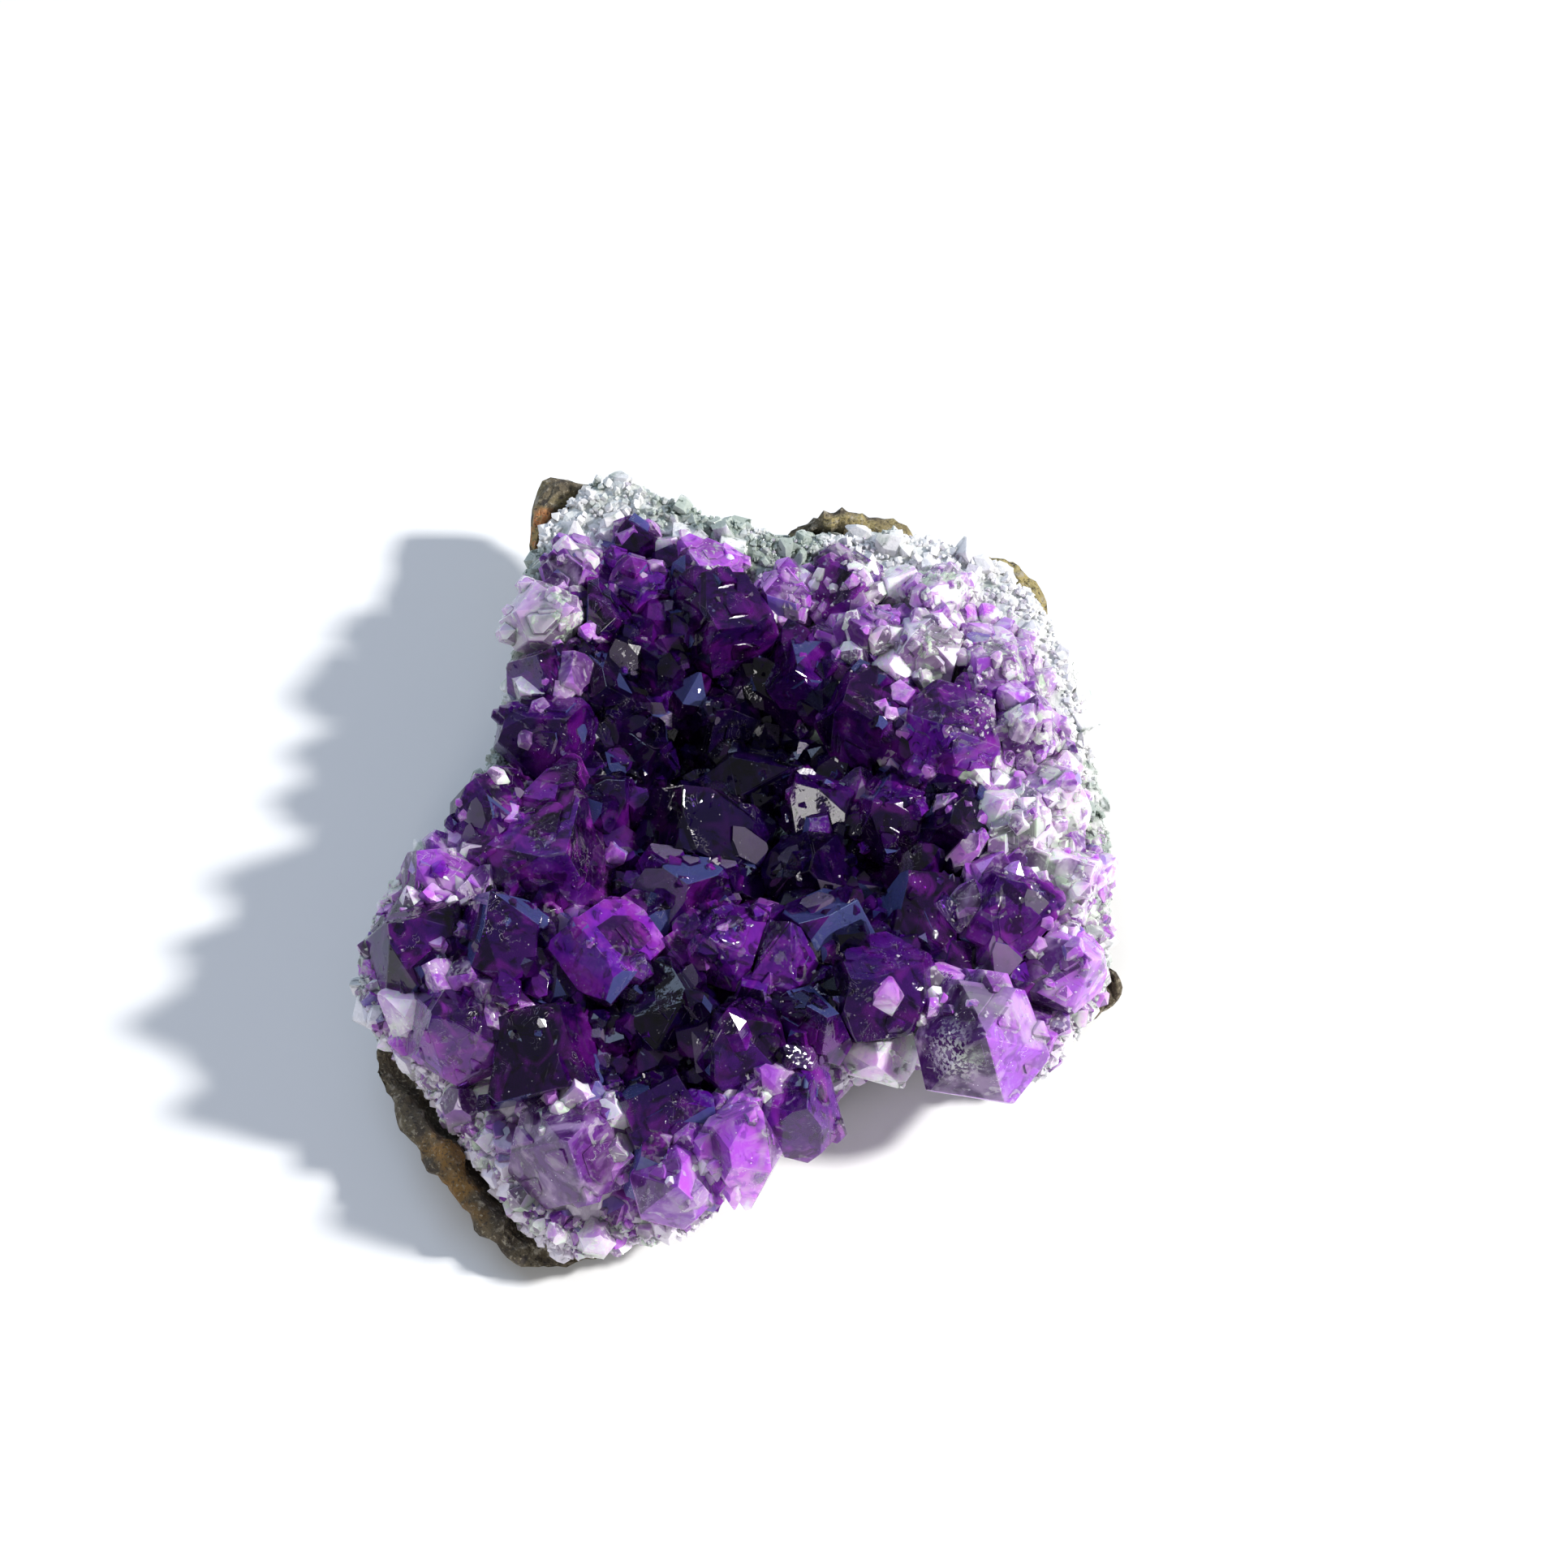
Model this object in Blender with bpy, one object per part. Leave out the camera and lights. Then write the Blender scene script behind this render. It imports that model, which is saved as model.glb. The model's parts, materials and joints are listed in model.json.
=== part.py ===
"""Amethyst cluster: a broken piece of geode wall, lying on the outside of the wall.

A brown basalt crust is underneath. It carries a bed of grey and white quartz, and amethyst
crystals stand on the bed, each cut by the flat face along which it met its neighbour.
Run it with: blender --background --python part.py

Inside this file lengths are millimetres. +Z is up, +Y is the back and the origin is on the
surface that the piece lies on.
"""

import math
import random
from typing import NamedTuple

import bmesh
import bpy
from mathutils import Matrix, Vector, noise

MM = 0.001

# ---------------------------------------------------------------- driving dimensions

GAP = 0.3  # clear space kept between any two solids
SPOKES = 92  # columns of faces round the crust and the bed
REST_SHARE = 0.5  # share of the radius over which the underside is flat
BED_MIDDLE = 13.0  # height of the bed's upper side at the origin
CRUST_MIDDLE = 4.6  # height of the crust's upper side at the origin
CRUST_SHARE = 0.36  # share of the broken edge that is crust
PYRAMID_TILT = 51.8  # degrees between a crystal's axis and the normal of a tip face
SMALL_FACES = (-0.02, 0.26)  # how far out the three small tip faces start, over the half width
LARGE_FACES = (-0.12, 0.04)  # the same for the three large ones
TRIM = 1.0  # how much more room a thick crystal takes from a thin neighbour
GROWTH = 1.16  # how much longer every crystal is than the rise in its row of the table
CROWD = 1.16  # how much thicker every crystal grows than its row says, so that they meet


class Edge(NamedTuple):
    """One corner of the broken edge, seen from above."""

    x: float
    y: float
    top: float  # height of the quartz bed's edge
    bottom: float  # height of the crust's lower edge
    skirt: float  # how far the crust stands out past the quartz


OUTLINE = [
    Edge(44.5, 5.0, 15.5, 5.0, 0.4),
    Edge(43.0, 15.0, 16.5, 6.0, 0.4),
    Edge(41.5, 25.5, 17.0, 7.0, 0.5),
    Edge(39.0, 31.5, 18.0, 7.0, 0.8),
    Edge(36.0, 36.5, 19.0, 8.0, 2.6),
    Edge(31.5, 40.0, 19.5, 8.0, 2.8),
    Edge(24.0, 43.0, 19.5, 8.0, 1.2),
    Edge(18.0, 44.5, 19.0, 8.0, 2.8),
    Edge(12.5, 44.5, 18.0, 8.0, 4.6),
    Edge(7.0, 43.8, 18.0, 8.5, 3.4),
    Edge(4.0, 44.0, 19.0, 9.0, 1.0),
    Edge(-4.0, 46.4, 19.5, 9.0, 0.6),
    Edge(-11.0, 49.3, 19.5, 10.0, 0.4),
    Edge(-16.5, 52.6, 20.0, 10.0, 0.4),
    Edge(-20.0, 51.3, 18.5, 9.0, 3.2),
    Edge(-24.0, 47.5, 17.0, 9.0, 5.4),
    Edge(-26.5, 41.0, 17.0, 9.0, 1.6),
    Edge(-28.0, 31.0, 17.0, 8.0, 0.4),
    Edge(-29.5, 22.0, 17.0, 8.0, 0.4),
    Edge(-30.5, 14.5, 17.0, 8.0, 0.4),
    Edge(-33.0, 7.5, 17.0, 7.0, 0.4),
    Edge(-38.0, 1.0, 16.5, 7.0, 0.4),
    Edge(-43.0, -5.0, 15.5, 7.0, 0.4),
    Edge(-46.0, -12.0, 14.5, 7.0, 0.4),
    Edge(-46.5, -18.5, 13.5, 6.5, 0.6),
    Edge(-43.0, -24.0, 13.0, 5.0, 1.6),
    Edge(-38.5, -29.0, 12.5, 3.5, 3.2),
    Edge(-34.0, -35.0, 11.5, 2.2, 4.4),
    Edge(-30.0, -40.5, 10.0, 1.5, 4.0),
    Edge(-26.5, -45.0, 8.0, 1.0, 2.4),
    Edge(-22.5, -49.0, 6.5, 0.6, 1.5),
    Edge(-17.5, -48.5, 7.0, 1.0, 0.8),
    Edge(-12.0, -47.0, 8.0, 1.5, 0.4),
    Edge(-5.0, -46.0, 8.5, 2.0, 0.4),
    Edge(-2.0, -42.0, 10.0, 3.0, 0.4),
    Edge(2.0, -37.0, 11.0, 3.0, 0.4),
    Edge(8.0, -32.0, 11.5, 3.0, 0.4),
    Edge(14.0, -26.5, 12.0, 3.0, 0.4),
    Edge(22.0, -24.5, 11.5, 3.0, 0.4),
    Edge(30.0, -25.0, 10.0, 2.0, 0.4),
    Edge(36.0, -26.5, 8.0, 1.5, 0.6),
    Edge(40.0, -22.0, 9.0, 2.0, 0.4),
    Edge(42.6, -18.5, 9.5, 3.0, 0.6),
    Edge(44.8, -14.5, 11.0, 4.0, 2.2),
    Edge(44.5, -8.0, 13.5, 4.0, 0.5),
]

# Swells and hollows of the bed: x, y, height and width of each.
SWELLS = [
    (-8.0, 14.0, -4.6, 10.0),
    (4.0, 2.0, -1.6, 9.0),
    (-20.0, -13.0, 3.0, 13.0),
    (25.0, 15.0, 2.4, 11.0),
    (16.0, -18.0, 1.2, 9.0),
]


class Tone(NamedTuple):
    """A strength of the violet colour, and how see-through it looks."""

    name: str
    colour: tuple
    roughness: float


INK = Tone("ink", (0.022, 0.004, 0.060), 0.06)
DEEP = Tone("deep", (0.085, 0.012, 0.200), 0.07)
ROYAL = Tone("royal", (0.210, 0.040, 0.420), 0.08)
LILAC = Tone("lilac", (0.420, 0.230, 0.640), 0.14)
PALE = Tone("pale", (0.680, 0.580, 0.780), 0.22)


class Crystal(NamedTuple):
    """One amethyst crystal. x and y are at the middle of its length."""

    x: float
    y: float
    across: float  # width of the prism over its flats
    rise: float  # length from the bed to the tip, before GROWTH
    lean: float  # degrees between its axis and +Z
    toward: float  # degrees from +X to the side that it leans to
    tone: Tone
    uneven: float = 1.0  # how much the faces of its tip differ in size, 0 for six equal ones


CRYSTALS = [
    # back left, climbing to the broken edge
    Crystal(-20.6, 36.6, 7.0, 7.5, 24, -60, LILAC),
    Crystal(-23.0, 29.6, 8.5, 9.0, 30, -20, PALE),
    Crystal(-17.0, 29.6, 7.5, 10.0, 26, -50, DEEP),
    Crystal(-12.6, 34.0, 7.5, 9.0, 34, -80, ROYAL),
    Crystal(-4.6, 36.8, 6.5, 7.0, 24, -100, LILAC),
    Crystal(-3.0, 28.6, 13.0, 12.0, 34, -96, DEEP),
    Crystal(-10.6, 24.6, 11.0, 11.0, 30, -60, DEEP),
    Crystal(-17.2, 20.5, 8.5, 11.0, 24, -70, INK),
    Crystal(-24.2, 22.2, 8.0, 10.0, 12, 170, DEEP),
    Crystal(-23.0, 13.6, 10.0, 11.0, 18, -40, DEEP),
    # the dark hollow
    Crystal(-2.6, 18.6, 9.5, 8.5, 22, -120, INK),
    Crystal(-12.4, 13.4, 10.0, 8.5, 24, -30, INK),
    Crystal(2.4, 12.2, 9.5, 10.0, 58, 4, INK),
    Crystal(-16.4, 5.6, 9.0, 9.5, 30, 20, DEEP),
    Crystal(-6.2, 2.6, 12.0, 12.0, 20, 105, INK),
    Crystal(9.0, 5.6, 9.0, 9.5, 28, 160, DEEP),
    Crystal(8.6, -3.4, 10.0, 9.0, 24, -100, INK),
    Crystal(18.0, 3.0, 9.5, 10.0, 26, -160, DEEP),
    Crystal(25.6, 1.4, 9.5, 10.0, 22, -110, INK),
    # back right, paler towards the edge
    Crystal(4.6, 33.0, 6.5, 8.0, 30, -140, LILAC),
    Crystal(13.6, 34.0, 8.0, 8.0, 26, -60, ROYAL),
    Crystal(23.6, 32.6, 7.0, 7.0, 28, -130, PALE),
    Crystal(7.6, 22.6, 8.5, 9.5, 26, -120, DEEP),
    Crystal(15.6, 26.6, 7.0, 9.0, 14, -110, LILAC),
    Crystal(22.6, 24.6, 8.5, 9.5, 24, -150, PALE),
    Crystal(14.6, 16.4, 10.0, 10.5, 26, -150, DEEP),
    Crystal(30.2, 22.2, 7.5, 8.5, 26, -160, LILAC),
    Crystal(26.0, 12.2, 11.0, 12.0, 26, -100, ROYAL),
    Crystal(34.6, 14.0, 8.5, 9.0, 16, 0, LILAC),
    Crystal(38.6, 6.0, 8.5, 8.0, 30, 10, PALE),
    Crystal(34.0, 1.6, 9.5, 9.0, 14, -30, PALE),
    Crystal(31.6, -8.6, 11.5, 11.0, 14, 150, ROYAL),
    Crystal(40.2, -4.6, 9.0, 8.0, 32, -10, PALE),
    Crystal(39.6, -15.0, 9.0, 9.0, 30, -30, LILAC),
    # front right, with the largest crystal
    Crystal(28.0, -26.4, 13.5, 14.5, 22, -84, LILAC, 0.2),
    Crystal(15.0, -20.8, 13.0, 12.5, 24, -150, DEEP),
    Crystal(21.6, -8.2, 9.5, 10.0, 30, 120, DEEP),
    Crystal(11.6, -11.8, 11.0, 11.0, 30, 20, DEEP),
    Crystal(16.0, -27.6, 8.0, 6.5, 40, -90, PALE),
    Crystal(9.6, -24.6, 9.0, 11.0, 16, -70, DEEP),
    # middle of the front
    Crystal(-1.6, -14.6, 9.5, 11.5, 26, -150, ROYAL),
    Crystal(4.8, -16.6, 8.5, 11.0, 28, 70, ROYAL),
    Crystal(-6.8, -7.2, 9.0, 11.0, 18, -80, DEEP),
    Crystal(-0.4, -27.2, 9.5, 12.5, 14, 170, DEEP),
    Crystal(6.4, -34.4, 9.5, 11.0, 28, -60, ROYAL),
    Crystal(-0.2, -38.6, 8.0, 12.5, 24, 40, LILAC),
    Crystal(-9.0, -22.6, 10.0, 11.0, 24, -20, INK),
    Crystal(-9.6, -33.6, 10.5, 11.0, 24, 40, DEEP),
    Crystal(-7.6, -43.0, 8.5, 9.5, 28, -80, LILAC),
    # front left, with the broad bright crystals
    Crystal(-22.0, -3.6, 15.0, 12.5, 24, -50, ROYAL),
    Crystal(-17.6, -15.4, 13.5, 12.5, 22, 150, ROYAL),
    Crystal(-30.6, 3.6, 8.5, 10.0, 22, 140, ROYAL),
    Crystal(-37.0, -4.6, 9.0, 8.5, 28, 150, LILAC),
    Crystal(-29.0, -14.2, 11.0, 12.5, 28, 120, DEEP),
    Crystal(-39.4, -14.0, 11.5, 11.0, 24, 190, DEEP),
    Crystal(-34.2, -24.6, 12.0, 10.5, 24, 215, ROYAL),
    Crystal(-22.6, -27.0, 13.5, 12.0, 20, 60, DEEP),
    Crystal(-20.2, -38.6, 13.5, 11.0, 24, -96, LILAC),
]


# ---------------------------------------------------------------- the crust and the bed


def polar_outline():
    """The broken edge as (angle, radius, edge), sorted by angle."""
    corners = [(math.atan2(e.y, e.x), math.hypot(e.x, e.y), e) for e in OUTLINE]
    return sorted(corners, key=lambda corner: corner[0])


CORNERS = polar_outline()


def edge_towards(angle):
    """Radius, top, bottom and skirt of the broken edge in one direction from the origin."""
    angle = (angle - CORNERS[0][0]) % math.tau + CORNERS[0][0]
    after = next((k for k, c in enumerate(CORNERS) if c[0] > angle), 0)
    (a0, r0, e0), (a1, r1, e1) = CORNERS[after - 1], CORNERS[after]
    share = ((angle - a0) % math.tau) / ((a1 - a0) % math.tau)
    start = (r0, e0.top, e0.bottom, e0.skirt)
    end = (r1, e1.top, e1.bottom, e1.skirt)
    return [p + (q - p) * share for p, q in zip(start, end)]


def ease(value, low, high):
    """0 below low, 1 above high, and a smooth rise between."""
    t = min(1.0, max(0.0, (value - low) / (high - low)))
    return t * t * (3 - 2 * t)


def lumps(x, y, z, size):
    """Smooth natural unevenness, from about -1 to 1, with lumps of one size in mm."""
    return noise.fractal(Vector((x, y, z)) / size, 0.7, 2.0, 3)


def bed_height(x, y):
    """Height of the quartz bed's upper side, under the crystals."""
    radius, top, _, _ = edge_towards(math.atan2(y, x))
    share = min(1.0, math.hypot(x, y) / radius)
    height = BED_MIDDLE + (top - BED_MIDDLE) * share**2.6
    for sx, sy, rise, width in SWELLS:
        height += rise * math.exp(-((x - sx) ** 2 + (y - sy) ** 2) / (2 * width**2))
    return height


def seam_height(x, y):
    """Height of the crust's upper side, where the quartz began to grow."""
    radius, top, bottom, _ = edge_towards(math.atan2(y, x))
    share = min(1.0, math.hypot(x, y) / radius)
    at_edge = bottom + CRUST_SHARE * (top - bottom)
    return CRUST_MIDDLE + (at_edge - CRUST_MIDDLE) * share**1.7


def ring(point):
    """One closed ring of points: point(angle) gives each of them."""
    return [point(math.tau * k / SPOKES) for k in range(SPOKES)]


def skin_rings(name, rings, low_pole, high_pole):
    """A closed solid through the rings, from the pole inside the first to that inside the last."""
    mesh = bmesh.new()
    loops = [[mesh.verts.new(p) for p in points] for points in rings]
    for lower, upper in zip(loops, loops[1:]):
        for k in range(SPOKES):
            after = (k + 1) % SPOKES
            mesh.faces.new((lower[k], lower[after], upper[after], upper[k]))
    for pole, loop, turned in ((low_pole, loops[0], True), (high_pole, loops[-1], False)):
        tip = mesh.verts.new(pole)
        for k in range(SPOKES):
            pair = (loop[k], loop[(k + 1) % SPOKES])
            mesh.faces.new((tip, *(pair[::-1] if turned else pair)))
    bmesh.ops.scale(mesh, vec=(MM,) * 3, verts=mesh.verts)
    return add_object(name, mesh)


def add_object(name, mesh):
    """A scene object that holds the finished mesh."""
    data = bpy.data.meshes.new(name)
    mesh.to_mesh(data)
    mesh.free()
    made = bpy.data.objects.new(name, data)
    bpy.context.scene.collection.objects.link(made)
    return made


def on_surface(height, share, shift=0.0, rough=0.0):
    """A ring's point function: a share of the way out, at height(x, y) plus a shift."""

    def point(angle):
        radius = edge_towards(angle)[0] * share
        x, y = radius * math.cos(angle), radius * math.sin(angle)
        return x, y, height(x, y) + shift + rough * lumps(x, y, 3.0, 7.0)

    return point


def make_bed():
    """The quartz bed: a dished layer whose broken edge stands up round it."""

    def side(share, level):
        """A ring of the broken side: level 0 is at the seam and 1 at the upper edge."""

        def point(angle):
            radius, top, _, _ = edge_towards(angle)
            x, y = radius * math.cos(angle), radius * math.sin(angle)
            low = seam_height(x, y) + GAP
            z = low + (bed_height(x, y) - low) * level
            reach = share * radius + 0.5 * lumps(x, y, z, 4.0)
            return reach * math.cos(angle), reach * math.sin(angle), z

        return point

    under = [ring(on_surface(seam_height, s, GAP)) for s in (0.2, 0.45, 0.7, 0.88)]
    sides = [ring(side(s, level)) for s, level in ((0.965, 0.03), (0.995, 0.4), (0.985, 0.8))]
    over = [ring(on_surface(bed_height, s)) for s in (0.95, 0.86, 0.74, 0.6, 0.45, 0.3, 0.15)]
    bed = skin_rings(
        "quartz_bed",
        under + sides + over,
        (0, 0, seam_height(0, 0) + GAP),
        (0, 0, bed_height(0, 0)),
    )
    dress(bed, "grey_quartz", (0.56, 0.60, 0.58), 0.45)


def make_crust():
    """The basalt crust: flat where it rests, rising to a ragged skirt round the bed."""

    def under(share):
        def point(angle):
            radius, _, bottom, skirt = edge_towards(angle)
            x, y = radius * math.cos(angle), radius * math.sin(angle)
            rise = ease(share, REST_SHARE, 1.12)
            z = bottom * rise + 1.1 * rise * (1 + lumps(x, y, share * 9, 8.0))
            reach = (radius - 2.0) * share + (skirt * 0.8 + 0.6 * lumps(x, y, 8.0, 5.0)) * rise
            return reach * math.cos(angle), reach * math.sin(angle), z

        return point

    def skirt_ring(out, climb):
        """A ring at the crust's edge: under the bed, or outside it and climbing where it stands out."""

        def point(angle):
            radius, top, bottom, skirt = edge_towards(angle)
            x, y = radius * math.cos(angle), radius * math.sin(angle)
            seam = seam_height(x, y)
            full = (top - seam) * ease(skirt, 1.9, 4.2) * 0.95
            z = seam - 0.5 + climb * full + 0.5 * min(climb * full, 1.0) * lumps(x, y, 20.0, 4.0)
            reach = radius - 2.2 + 3.1 * ease(skirt, 0.9, 1.9)
            reach += out * (max(0.5, skirt) + 0.4 * lumps(x, y, z, 4.0))
            return reach * math.cos(angle), reach * math.sin(angle), z

        return point

    flat = [ring(on_surface(lambda x, y: 0.0, s)) for s in (REST_SHARE,)]
    below = [ring(under(s)) for s in (0.62, 0.76, 0.9)]
    outer = [ring(skirt_ring(1.0, 0.1)), ring(skirt_ring(0.8, 0.75)), ring(skirt_ring(0.1, 1.0))]
    inner = [ring(skirt_ring(0.0, 0.0))]
    upper = [ring(on_surface(seam_height, s)) for s in (0.9, 0.7, 0.45, 0.2)]
    crust = skin_rings(
        "basalt_crust",
        flat + below + outer + inner + upper,
        (0, 0, 0),
        (0, 0, seam_height(0, 0)),
    )
    dress(crust, "brown_basalt", (0.20, 0.16, 0.11), 0.85)


# ---------------------------------------------------------------- the crystals


class Stem:
    """Where a crystal stands: its axis, its foot on the bed and the middle of its length."""

    def __init__(self, crystal):
        lean, toward = math.radians(crystal.lean), math.radians(crystal.toward)
        self.axis = Vector(
            (
                math.sin(lean) * math.cos(toward),
                math.sin(lean) * math.sin(toward),
                math.cos(lean),
            )
        )
        half = 0.5 * GROWTH * crystal.rise * self.axis
        foot = Vector((crystal.x - half.x, crystal.y - half.y, 0))
        foot.z = bed_height(foot.x, foot.y)
        self.foot = foot
        self.middle = foot + half
        self.tip = foot + 2 * half
        self.weight = crystal.across / 2


def bed_normal(x, y):
    """The bed's upward direction at a place."""
    step = 1.0
    slope_x = (bed_height(x + step, y) - bed_height(x - step, y)) / (2 * step)
    slope_y = (bed_height(x, y + step) - bed_height(x, y - step)) / (2 * step)
    return Vector((-slope_x, -slope_y, 1)).normalized()


def carve(mesh, point, normal):
    """Keep what lies behind a plane, and close the cut with a flat face."""
    whole = mesh.verts[:] + mesh.edges[:] + mesh.faces[:]
    cut = bmesh.ops.bisect_plane(
        mesh, geom=whole, plane_co=point, plane_no=normal, clear_outer=True, dist=1e-5
    )
    rim = [e for e in cut["geom_cut"] if isinstance(e, bmesh.types.BMEdge)]
    open_rim = [e for e in rim if len(e.link_faces) == 1]
    if open_rim:
        bmesh.ops.contextual_create(mesh, geom=open_rim)


def crystal_block(crystal, stem, chance):
    """The crystal as it would grow alone: a six-sided prism with a six-sided tip."""
    mesh = bmesh.new()
    turn = chance.uniform(0, 60)
    half = CROWD * crystal.across / 2
    turned = Vector((0, 0, 1)).rotation_difference(stem.axis).to_matrix().to_4x4()
    place = Matrix.Translation(stem.foot) @ turned
    reach = 2.4 * crystal.across + 2 * crystal.rise
    peak = Vector((0, 0, GROWTH * crystal.rise))
    bmesh.ops.create_cube(mesh, size=2 * reach, matrix=Matrix.Translation(stem.foot))
    large_first = chance.choice((0, 1))
    for k in range(6):
        angle = math.radians(turn + 60 * k)
        out = Vector((math.cos(angle), math.sin(angle), 0))
        side = half * chance.uniform(0.86, 1.12)
        carve(mesh, place @ (out * side), turned @ out)
        tilt = math.radians(PYRAMID_TILT)
        face = out * math.sin(tilt) + Vector((0, 0, math.cos(tilt)))
        # Every second face of the tip is smaller, so it starts further out.
        small = (k + large_first) % 2
        start = chance.uniform(*(SMALL_FACES if small else LARGE_FACES))
        back = half * crystal.uneven * start
        carve(mesh, place @ peak + (turned @ face) * back, turned @ face)
    return mesh


def clear_of_bed(mesh, stem):
    """Cut the foot flat, just clear of the bed everywhere under the crystal."""
    up = bed_normal(stem.foot.x, stem.foot.y)
    carve(mesh, stem.foot, -up)
    corners = [v.co for v in mesh.verts if abs((v.co - stem.foot) @ up) < 0.01]
    samples = [a.lerp(b, t) for a in corners for b in corners for t in (0.0, 0.25, 0.5)]
    rise = max((bed_height(p.x, p.y) - p.z) * up.z for p in samples)
    carve(mesh, stem.foot + up * (max(0.0, rise) + 1.5 * GAP), -up)


def make_crystal(number, stems):
    """One crystal, cut where it met each neighbour."""
    crystal, stem = CRYSTALS[number], stems[number]
    mesh = crystal_block(crystal, stem, random.Random(400 + number))
    for other in stems:
        across = other.middle - stem.middle
        distance = across.length
        if other is stem or distance > 2.6 * (stem.weight + other.weight):
            continue
        share = 0.5 + (stem.weight**2 - other.weight**2) * TRIM / (2 * distance**2)
        share = min(0.78, max(0.22, share))
        meeting = stem.middle + across * share
        carve(mesh, meeting - across.normalized() * GAP / 2, across)
    clear_of_bed(mesh, stem)
    place = Matrix.Translation(stem.foot) @ stem.axis.to_track_quat("Z", "Y").to_matrix().to_4x4()
    mesh.transform(place.inverted())
    bmesh.ops.scale(mesh, vec=(MM,) * 3, verts=mesh.verts)
    bmesh.ops.recalc_face_normals(mesh, faces=mesh.faces)
    made = add_object(f"crystal_{number + 1:02d}", mesh)
    made.location = stem.foot * MM
    made.rotation_euler = place.to_euler()
    dress(made, f"amethyst_{crystal.tone.name}", crystal.tone.colour, crystal.tone.roughness)


def dress(made, name, colour, roughness):
    """Give an object the named material, making it the first time."""
    material = bpy.data.materials.get(name)
    if material is None:
        material = bpy.data.materials.new(name)
        material.use_nodes = True
        shader = material.node_tree.nodes["Principled BSDF"]
        shader.inputs["Base Color"].default_value = (*colour, 1)
        shader.inputs["Roughness"].default_value = roughness
        shader.inputs["Metallic"].default_value = 0
    made.data.materials.append(material)


def main():
    """Clear the scene, then build the crust, the bed and the crystals."""
    for old in list(bpy.data.objects):
        bpy.data.objects.remove(old)
    make_crust()
    make_bed()
    stems = [Stem(crystal) for crystal in CRYSTALS]
    for number in range(len(CRYSTALS)):
        make_crystal(number, stems)


main()
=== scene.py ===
"""Amethyst cluster: the looks of a broken piece of geode wall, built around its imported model.

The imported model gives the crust, the quartz bed and the main crystals. This script gives the
crystals fine facets and a deep violet, grows the small crystals between them, and covers the
broken edge with sugary quartz. Lengths are metres; +Z is up and +Y is the back.
"""

import functools
import itertools
import json
import logging
import math
from collections.abc import Callable
from dataclasses import dataclass
from enum import Enum
from typing import NamedTuple

import bmesh
import bpy
import numpy as np
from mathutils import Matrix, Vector
from mathutils.bvhtree import BVHTree


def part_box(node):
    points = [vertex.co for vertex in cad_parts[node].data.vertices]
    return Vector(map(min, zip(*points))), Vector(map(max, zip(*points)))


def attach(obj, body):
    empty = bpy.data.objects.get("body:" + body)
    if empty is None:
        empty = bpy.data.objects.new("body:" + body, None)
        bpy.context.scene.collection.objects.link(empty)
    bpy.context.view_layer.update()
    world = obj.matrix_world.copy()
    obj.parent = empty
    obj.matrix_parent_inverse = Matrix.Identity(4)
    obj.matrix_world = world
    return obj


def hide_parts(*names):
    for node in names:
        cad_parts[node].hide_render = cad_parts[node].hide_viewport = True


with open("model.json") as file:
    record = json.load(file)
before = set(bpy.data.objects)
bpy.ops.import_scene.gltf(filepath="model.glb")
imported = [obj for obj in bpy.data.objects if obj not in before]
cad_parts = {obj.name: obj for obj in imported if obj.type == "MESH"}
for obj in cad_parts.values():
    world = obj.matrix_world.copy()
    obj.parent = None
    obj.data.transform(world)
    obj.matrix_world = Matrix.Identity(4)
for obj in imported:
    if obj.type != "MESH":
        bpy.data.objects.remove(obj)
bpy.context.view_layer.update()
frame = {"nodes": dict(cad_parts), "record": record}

Array = np.ndarray
Socket = bpy.types.NodeSocket
Colour = tuple[float, float, float, float]
Place = tuple[float, float, float]
log = logging.getLogger("amethyst")

MM = 0.001
ABOVE = 100 * MM  # higher than the whole model
WELD = 1e-8  # points that are this close are one
BED = "quartz_bed"
CRUST = "basalt_crust"
SPOKES = 92  # directions in which the bed's outline is measured
TIP_TILT = 51.8  # degrees between a crystal's axis and the normal of a tip face
AROUND = [(3.2 * MM * math.cos(a), 3.2 * MM * math.sin(a)) for a in np.arange(8) * math.tau / 8]


# ---------------------------------------------------------------- surfaces


def unit(vectors: Array) -> Array:
    """Each vector divided by its length."""
    return vectors / np.maximum(np.linalg.norm(vectors, axis=-1, keepdims=True), 1e-12)


def swell(points: Array, size: float, seed: int, waves: int = 12) -> Array:
    """Smooth natural unevenness from about -1 to 1.

    It is the sum of plane waves in random directions, whose lengths lie round one size.

    Args:
        points: places, with x, y and z last.
        size: the middle wavelength.
        seed: chooses one pattern.
        waves: how many waves are added.

    Returns:
        One number for each place.
    """
    rng = np.random.default_rng(seed)
    ways = unit(rng.normal(size=(waves, 3))) * math.tau
    ways /= size * rng.uniform(0.6, 1.7, (waves, 1))
    phases = rng.uniform(0, math.tau, waves)
    return np.sin(points @ ways.T + phases).sum(-1) * 0.85 / math.sqrt(waves)


def frames_along(axes: Array, turns: Array) -> Array:
    """Rotations that take +Z to each axis, after a turn about +Z.

    Args:
        axes: unit vectors, one for each rotation.
        turns: angles in radians.

    Returns:
        Matrices whose columns are the turned x, the turned y and the axis.
    """
    helper = np.where(np.abs(axes[:, :1]) < 0.7, [[1.0, 0.0, 0.0]], [[0.0, 1.0, 0.0]])
    side = unit(np.cross(helper, axes))
    other = np.cross(axes, side)
    cos, sin = np.cos(turns)[:, None], np.sin(turns)[:, None]
    return np.stack([side * cos + other * sin, other * cos - side * sin, axes], axis=-1)


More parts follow.
